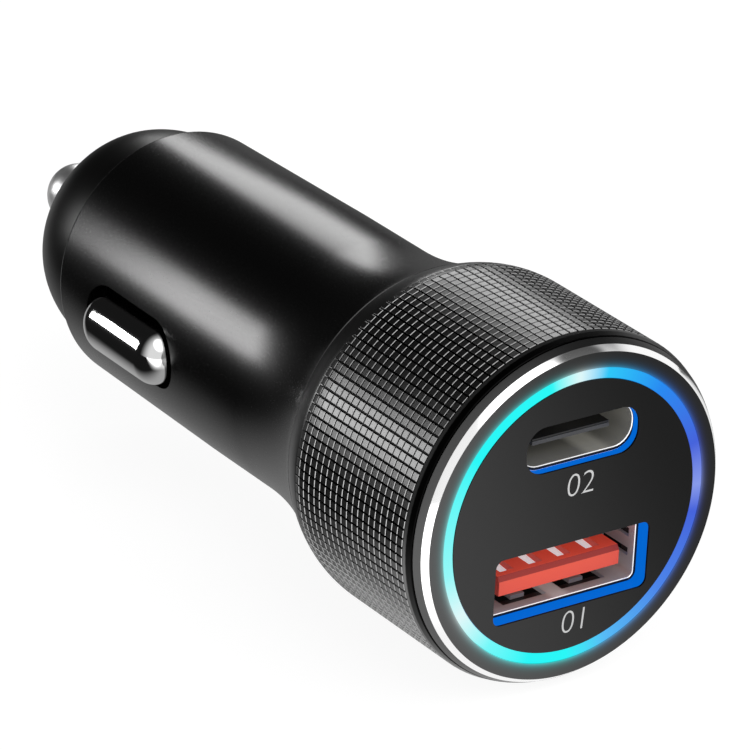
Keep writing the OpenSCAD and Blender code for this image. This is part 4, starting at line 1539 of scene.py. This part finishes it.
# %% Assign finishes to the solids
LIGHT_COUNT = 6
kept = {
    "usb_c_tongue": port_black,
    "usb_c_mid_plate": plate_grey,
    "led_board": board_black,
    "usb_c_board": board_green,
    "main_board": board_green,
    "power_inductor": ferrite,
    "converter_chip": port_black,
    "port_chip": port_black,
    "capacitor_1": can_blue,
    "capacitor_2": can_blue,
    "contact_carrier": carrier_painted_shade,
    "ground_terminal": brass,
    "centre_terminal": brass,
    "board_pin_1": gold,
    "board_pin_2": gold,
}
for number in range(1, PAD_COUNT + 1):
    kept[f"usb_a_contact_{number}"] = pad_white
for number in range(1, LIGHT_COUNT + 1):
    kept[f"led_{number}"] = phosphor
for node, finish in kept.items():
    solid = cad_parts[node]
    solid.data.materials.clear()
    solid.data.materials.append(finish)
print("solids with a finish", len(kept))

# %% [markdown]
# Port numbers
#
# The face carries a plain number under each port, printed in a thin layer of pale ink. A text
# curve with a very small extrusion makes it, and it becomes a mesh before it is put in place.

# %% Numbers on the face
NUMBER_HEIGHT = 1.8
DIGIT_SHARE = 0.7
INK = 0.008
INK_LIFT = 0.001
STROKE_THINNING = 0.05
SLANT = 0.08
print_white = plain_material("print_white", grey(192), 0.5)


def make_number(text, x, z, name):
    """A printed number, centred on a place of the face."""
    curve = bpy.data.curves.new(name, "FONT")
    curve.body = text
    curve.size = NUMBER_HEIGHT / DIGIT_SHARE * MM
    curve.align_x = "CENTER"
    curve.align_y = "CENTER"
    curve.extrude = INK * MM
    curve.offset = -STROKE_THINNING * MM
    curve.shear = SLANT
    writer = bpy.data.objects.new(name + "_text", curve)
    bpy.context.scene.collection.objects.link(writer)
    graph = bpy.context.evaluated_depsgraph_get()
    bm = bmesh.new()
    bm.from_mesh(writer.evaluated_get(graph).to_mesh())
    bpy.data.objects.remove(writer)
    turn = Matrix.Rotation(math.radians(90), 4, "X")
    place = Matrix.Translation((x * MM, (face_y - INK - INK_LIFT) * MM, z * MM))
    bmesh.ops.transform(bm, matrix=place @ turn, verts=bm.verts)
    return finish_piece(bm, name, "housing", print_white)


upper = make_number("02", 0.3, 2.45, "number_upper")
lower = make_number("01", 0.6, -8.35, "number_lower")
print("numbers", len(upper.data.polygons), len(lower.data.polygons))

# %% [markdown]
# The studio
#
# A pale floor, white all round for the camera, and two soft boxes behind the plug, one high
# on the right and one low on the left. They make the two long soft highlights on the barrel.
# What the glossy plastic mirrors besides them is a dark room with a bright patch of floor under
# the plug, so its sides stay black and its underside is grey.

# %% Floor
FLOOR_HALF = 6.0
FLOOR_GAP = 0.0002
FLOOR_GLOW = 1.14
FLOOR_GLOW_SHARE = 0.8
PATCH_LEFT = (-25, -9)
PATCH_RIGHT = (12, 45)
PATCH_DARK = 0.01
PATCH_LIT = 0.42
PATCH_FAR = 0.35
FRONT_ENDS = (8, -18)
FRONT_WHITE = 0.95
FRONT_SLANT = -0.25
LEFT_ENDS = (-12, -28)
LEFT_GAIN = 2.2


def make_floor():
    """A large square just under the plug."""
    bm = bmesh.new()
    bmesh.ops.create_grid(bm, x_segments=1, y_segments=1, size=FLOOR_HALF)
    bmesh.ops.translate(bm, verts=bm.verts, vec=(0, 0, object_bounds()[0].z - FLOOR_GAP))
    return as_object(bm, "floor")


def floor_level(tree):
    """How bright the floor is where the plug mirrors it: white in front, a lit patch below."""
    place = parts_of(tree, coordinate(tree, "Object"))
    x = place["X"]
    rising = mm_range(tree, x, PATCH_LEFT, PATCH_DARK, PATCH_LIT)
    falling = mm_range(tree, x, PATCH_RIGHT, 1.0, PATCH_FAR)
    patch = math_node(tree, "MULTIPLY", rising, falling)
    slant = math_node(tree, "MULTIPLY", x, FRONT_SLANT)
    ahead = math_node(tree, "ADD", place["Y"], slant)
    front = mm_range(tree, ahead, FRONT_ENDS, 0.0, FRONT_WHITE)
    extra = mm_range(tree, x, LEFT_ENDS, 1.0, LEFT_GAIN)
    front = math_node(tree, "MULTIPLY", front, extra)
    return math_node(tree, "MAXIMUM", patch, front)


def make_floor_finish():
    """Pale for the camera, and its own level where the plug mirrors it."""
    material, tree, shader = new_material("floor_white", grey(240), 0.9)
    shader.inputs["Specular IOR Level"].default_value = 0.0
    path = tree.nodes.new("ShaderNodeLightPath")
    white = tree.nodes.new("ShaderNodeEmission")
    white.inputs["Strength"].default_value = FLOOR_GLOW
    seen = tree.nodes.new("ShaderNodeMixShader")
    seen.inputs["Fac"].default_value = FLOOR_GLOW_SHARE
    tree.links.new(shader.outputs["BSDF"], seen.inputs[1])
    tree.links.new(white.outputs["Emission"], seen.inputs[2])
    level = floor_level(tree)
    mirrored = tree.nodes.new("ShaderNodeEmission")
    tree.links.new(level, mirrored.inputs["Strength"])
    mix = tree.nodes.new("ShaderNodeMixShader")
    tree.links.new(path.outputs["Is Camera Ray"], mix.inputs["Fac"])
    tree.links.new(mirrored.outputs["Emission"], mix.inputs[1])
    tree.links.new(seen.outputs["Shader"], mix.inputs[2])
    tree.links.new(mix.outputs["Shader"], tree.nodes["Material Output"].inputs["Surface"])
    return material


floor = make_floor()
floor.data.materials.append(make_floor_finish())
print("floor at", round(floor.data.vertices[0].co.z / MM, 2))

# %% [markdown]
# The soft boxes
#
# A long soft highlight on a round barrel is the mirror image of a large lamp. Each box is an
# area lamp on a ray from the plug, and its power grows with its area, so that its size can
# change without making the highlight brighter.

# %% Soft boxes
BOX_DISTANCE = 0.6


def soft_box(name, towards, width, height, radiance):
    """Area lamp that looks at the plug from a direction; its power follows its size."""
    data = bpy.data.lights.new(name, "AREA")
    data.shape = "RECTANGLE"
    data.size = width
    data.size_y = height
    data.energy = radiance * math.pi * width * height
    lamp = bpy.data.objects.new(name, data)
    bpy.context.scene.collection.objects.link(lamp)
    towards = Vector(towards).normalized()
    lamp.location = towards * BOX_DISTANCE
    lamp.rotation_mode = "QUATERNION"
    lamp.rotation_quaternion = towards.to_track_quat("Z", "Y")
    return lamp


high_box = soft_box("box_high_right", (0.502, 0.736, 0.454), 0.22, 0.22, 4.6)
low_box = soft_box("box_low_left", (-0.651, 0.736, 0.185), 0.15, 0.2, 10.8)
print("lamps", high_box.name, low_box.name)

# %% [markdown]
# The room
#
# The camera sees plain white all round. What the plug mirrors is a room that is bright in front
# and at the right, with one dark gap, and with one brighter card above the ports. A direction
# is compared with the card's own by a dot product, which is 1 where they agree.

# %% World
ROOM_DARK = 0.01
ROOM_FRONT = 0.9
ROOM_FRONT_ENDS = (0.3, -0.5)
ROOM_RIGHT = 1.0
ROOM_RIGHT_ENDS = (0.7, 0.9)
DARK_GAP = (0.53, -0.287, 0.797)
DARK_GAP_ENDS = (0.96, 0.985)
DARK_GAP_LEVEL = 0.15
TOP_CARD = (-0.05, -0.6, 0.8)
TOP_CARD_ENDS = (0.86, 0.96)
TOP_CARD_GAIN = 2.6


def change_towards(tree, place, direction, ends, level):
    """Factor that goes from 1 to a level near one direction of the room."""
    near = tree.nodes.new("ShaderNodeVectorMath")
    near.operation = "DOT_PRODUCT"
    near.inputs[1].default_value = direction
    tree.links.new(place, near.inputs[0])
    return smooth_range(tree, near.outputs["Value"], *ends, 1.0, level)


def make_world():
    """White for the camera; mirrored it is bright in front and at the right, dark behind."""
    world = bpy.data.worlds.new("studio")
    world.use_nodes = True
    tree = world.node_tree
    background = tree.nodes["Background"]
    place = coordinate(tree, "Generated")
    parts = parts_of(tree, place)
    front = smooth_range(tree, parts["Y"], *ROOM_FRONT_ENDS, ROOM_DARK, ROOM_FRONT)
    right = smooth_range(tree, parts["X"], *ROOM_RIGHT_ENDS, 0.0, ROOM_RIGHT)
    level = math_node(tree, "MAXIMUM", front, right)
    gap = change_towards(tree, place, DARK_GAP, DARK_GAP_ENDS, DARK_GAP_LEVEL)
    level = math_node(tree, "MULTIPLY", level, gap)
    card = change_towards(tree, place, TOP_CARD, TOP_CARD_ENDS, TOP_CARD_GAIN)
    level = math_node(tree, "MULTIPLY", level, card)
    path = tree.nodes.new("ShaderNodeLightPath")
    level = math_node(tree, "MAXIMUM", level, path.outputs["Is Camera Ray"])
    tree.links.new(level, background.inputs["Strength"])
    background.inputs["Color"].default_value = (1, 1, 1, 1)
    return world


bpy.context.scene.world = make_world()
bpy.context.scene.view_settings.view_transform = "Standard"
print("world", bpy.context.scene.world.name)
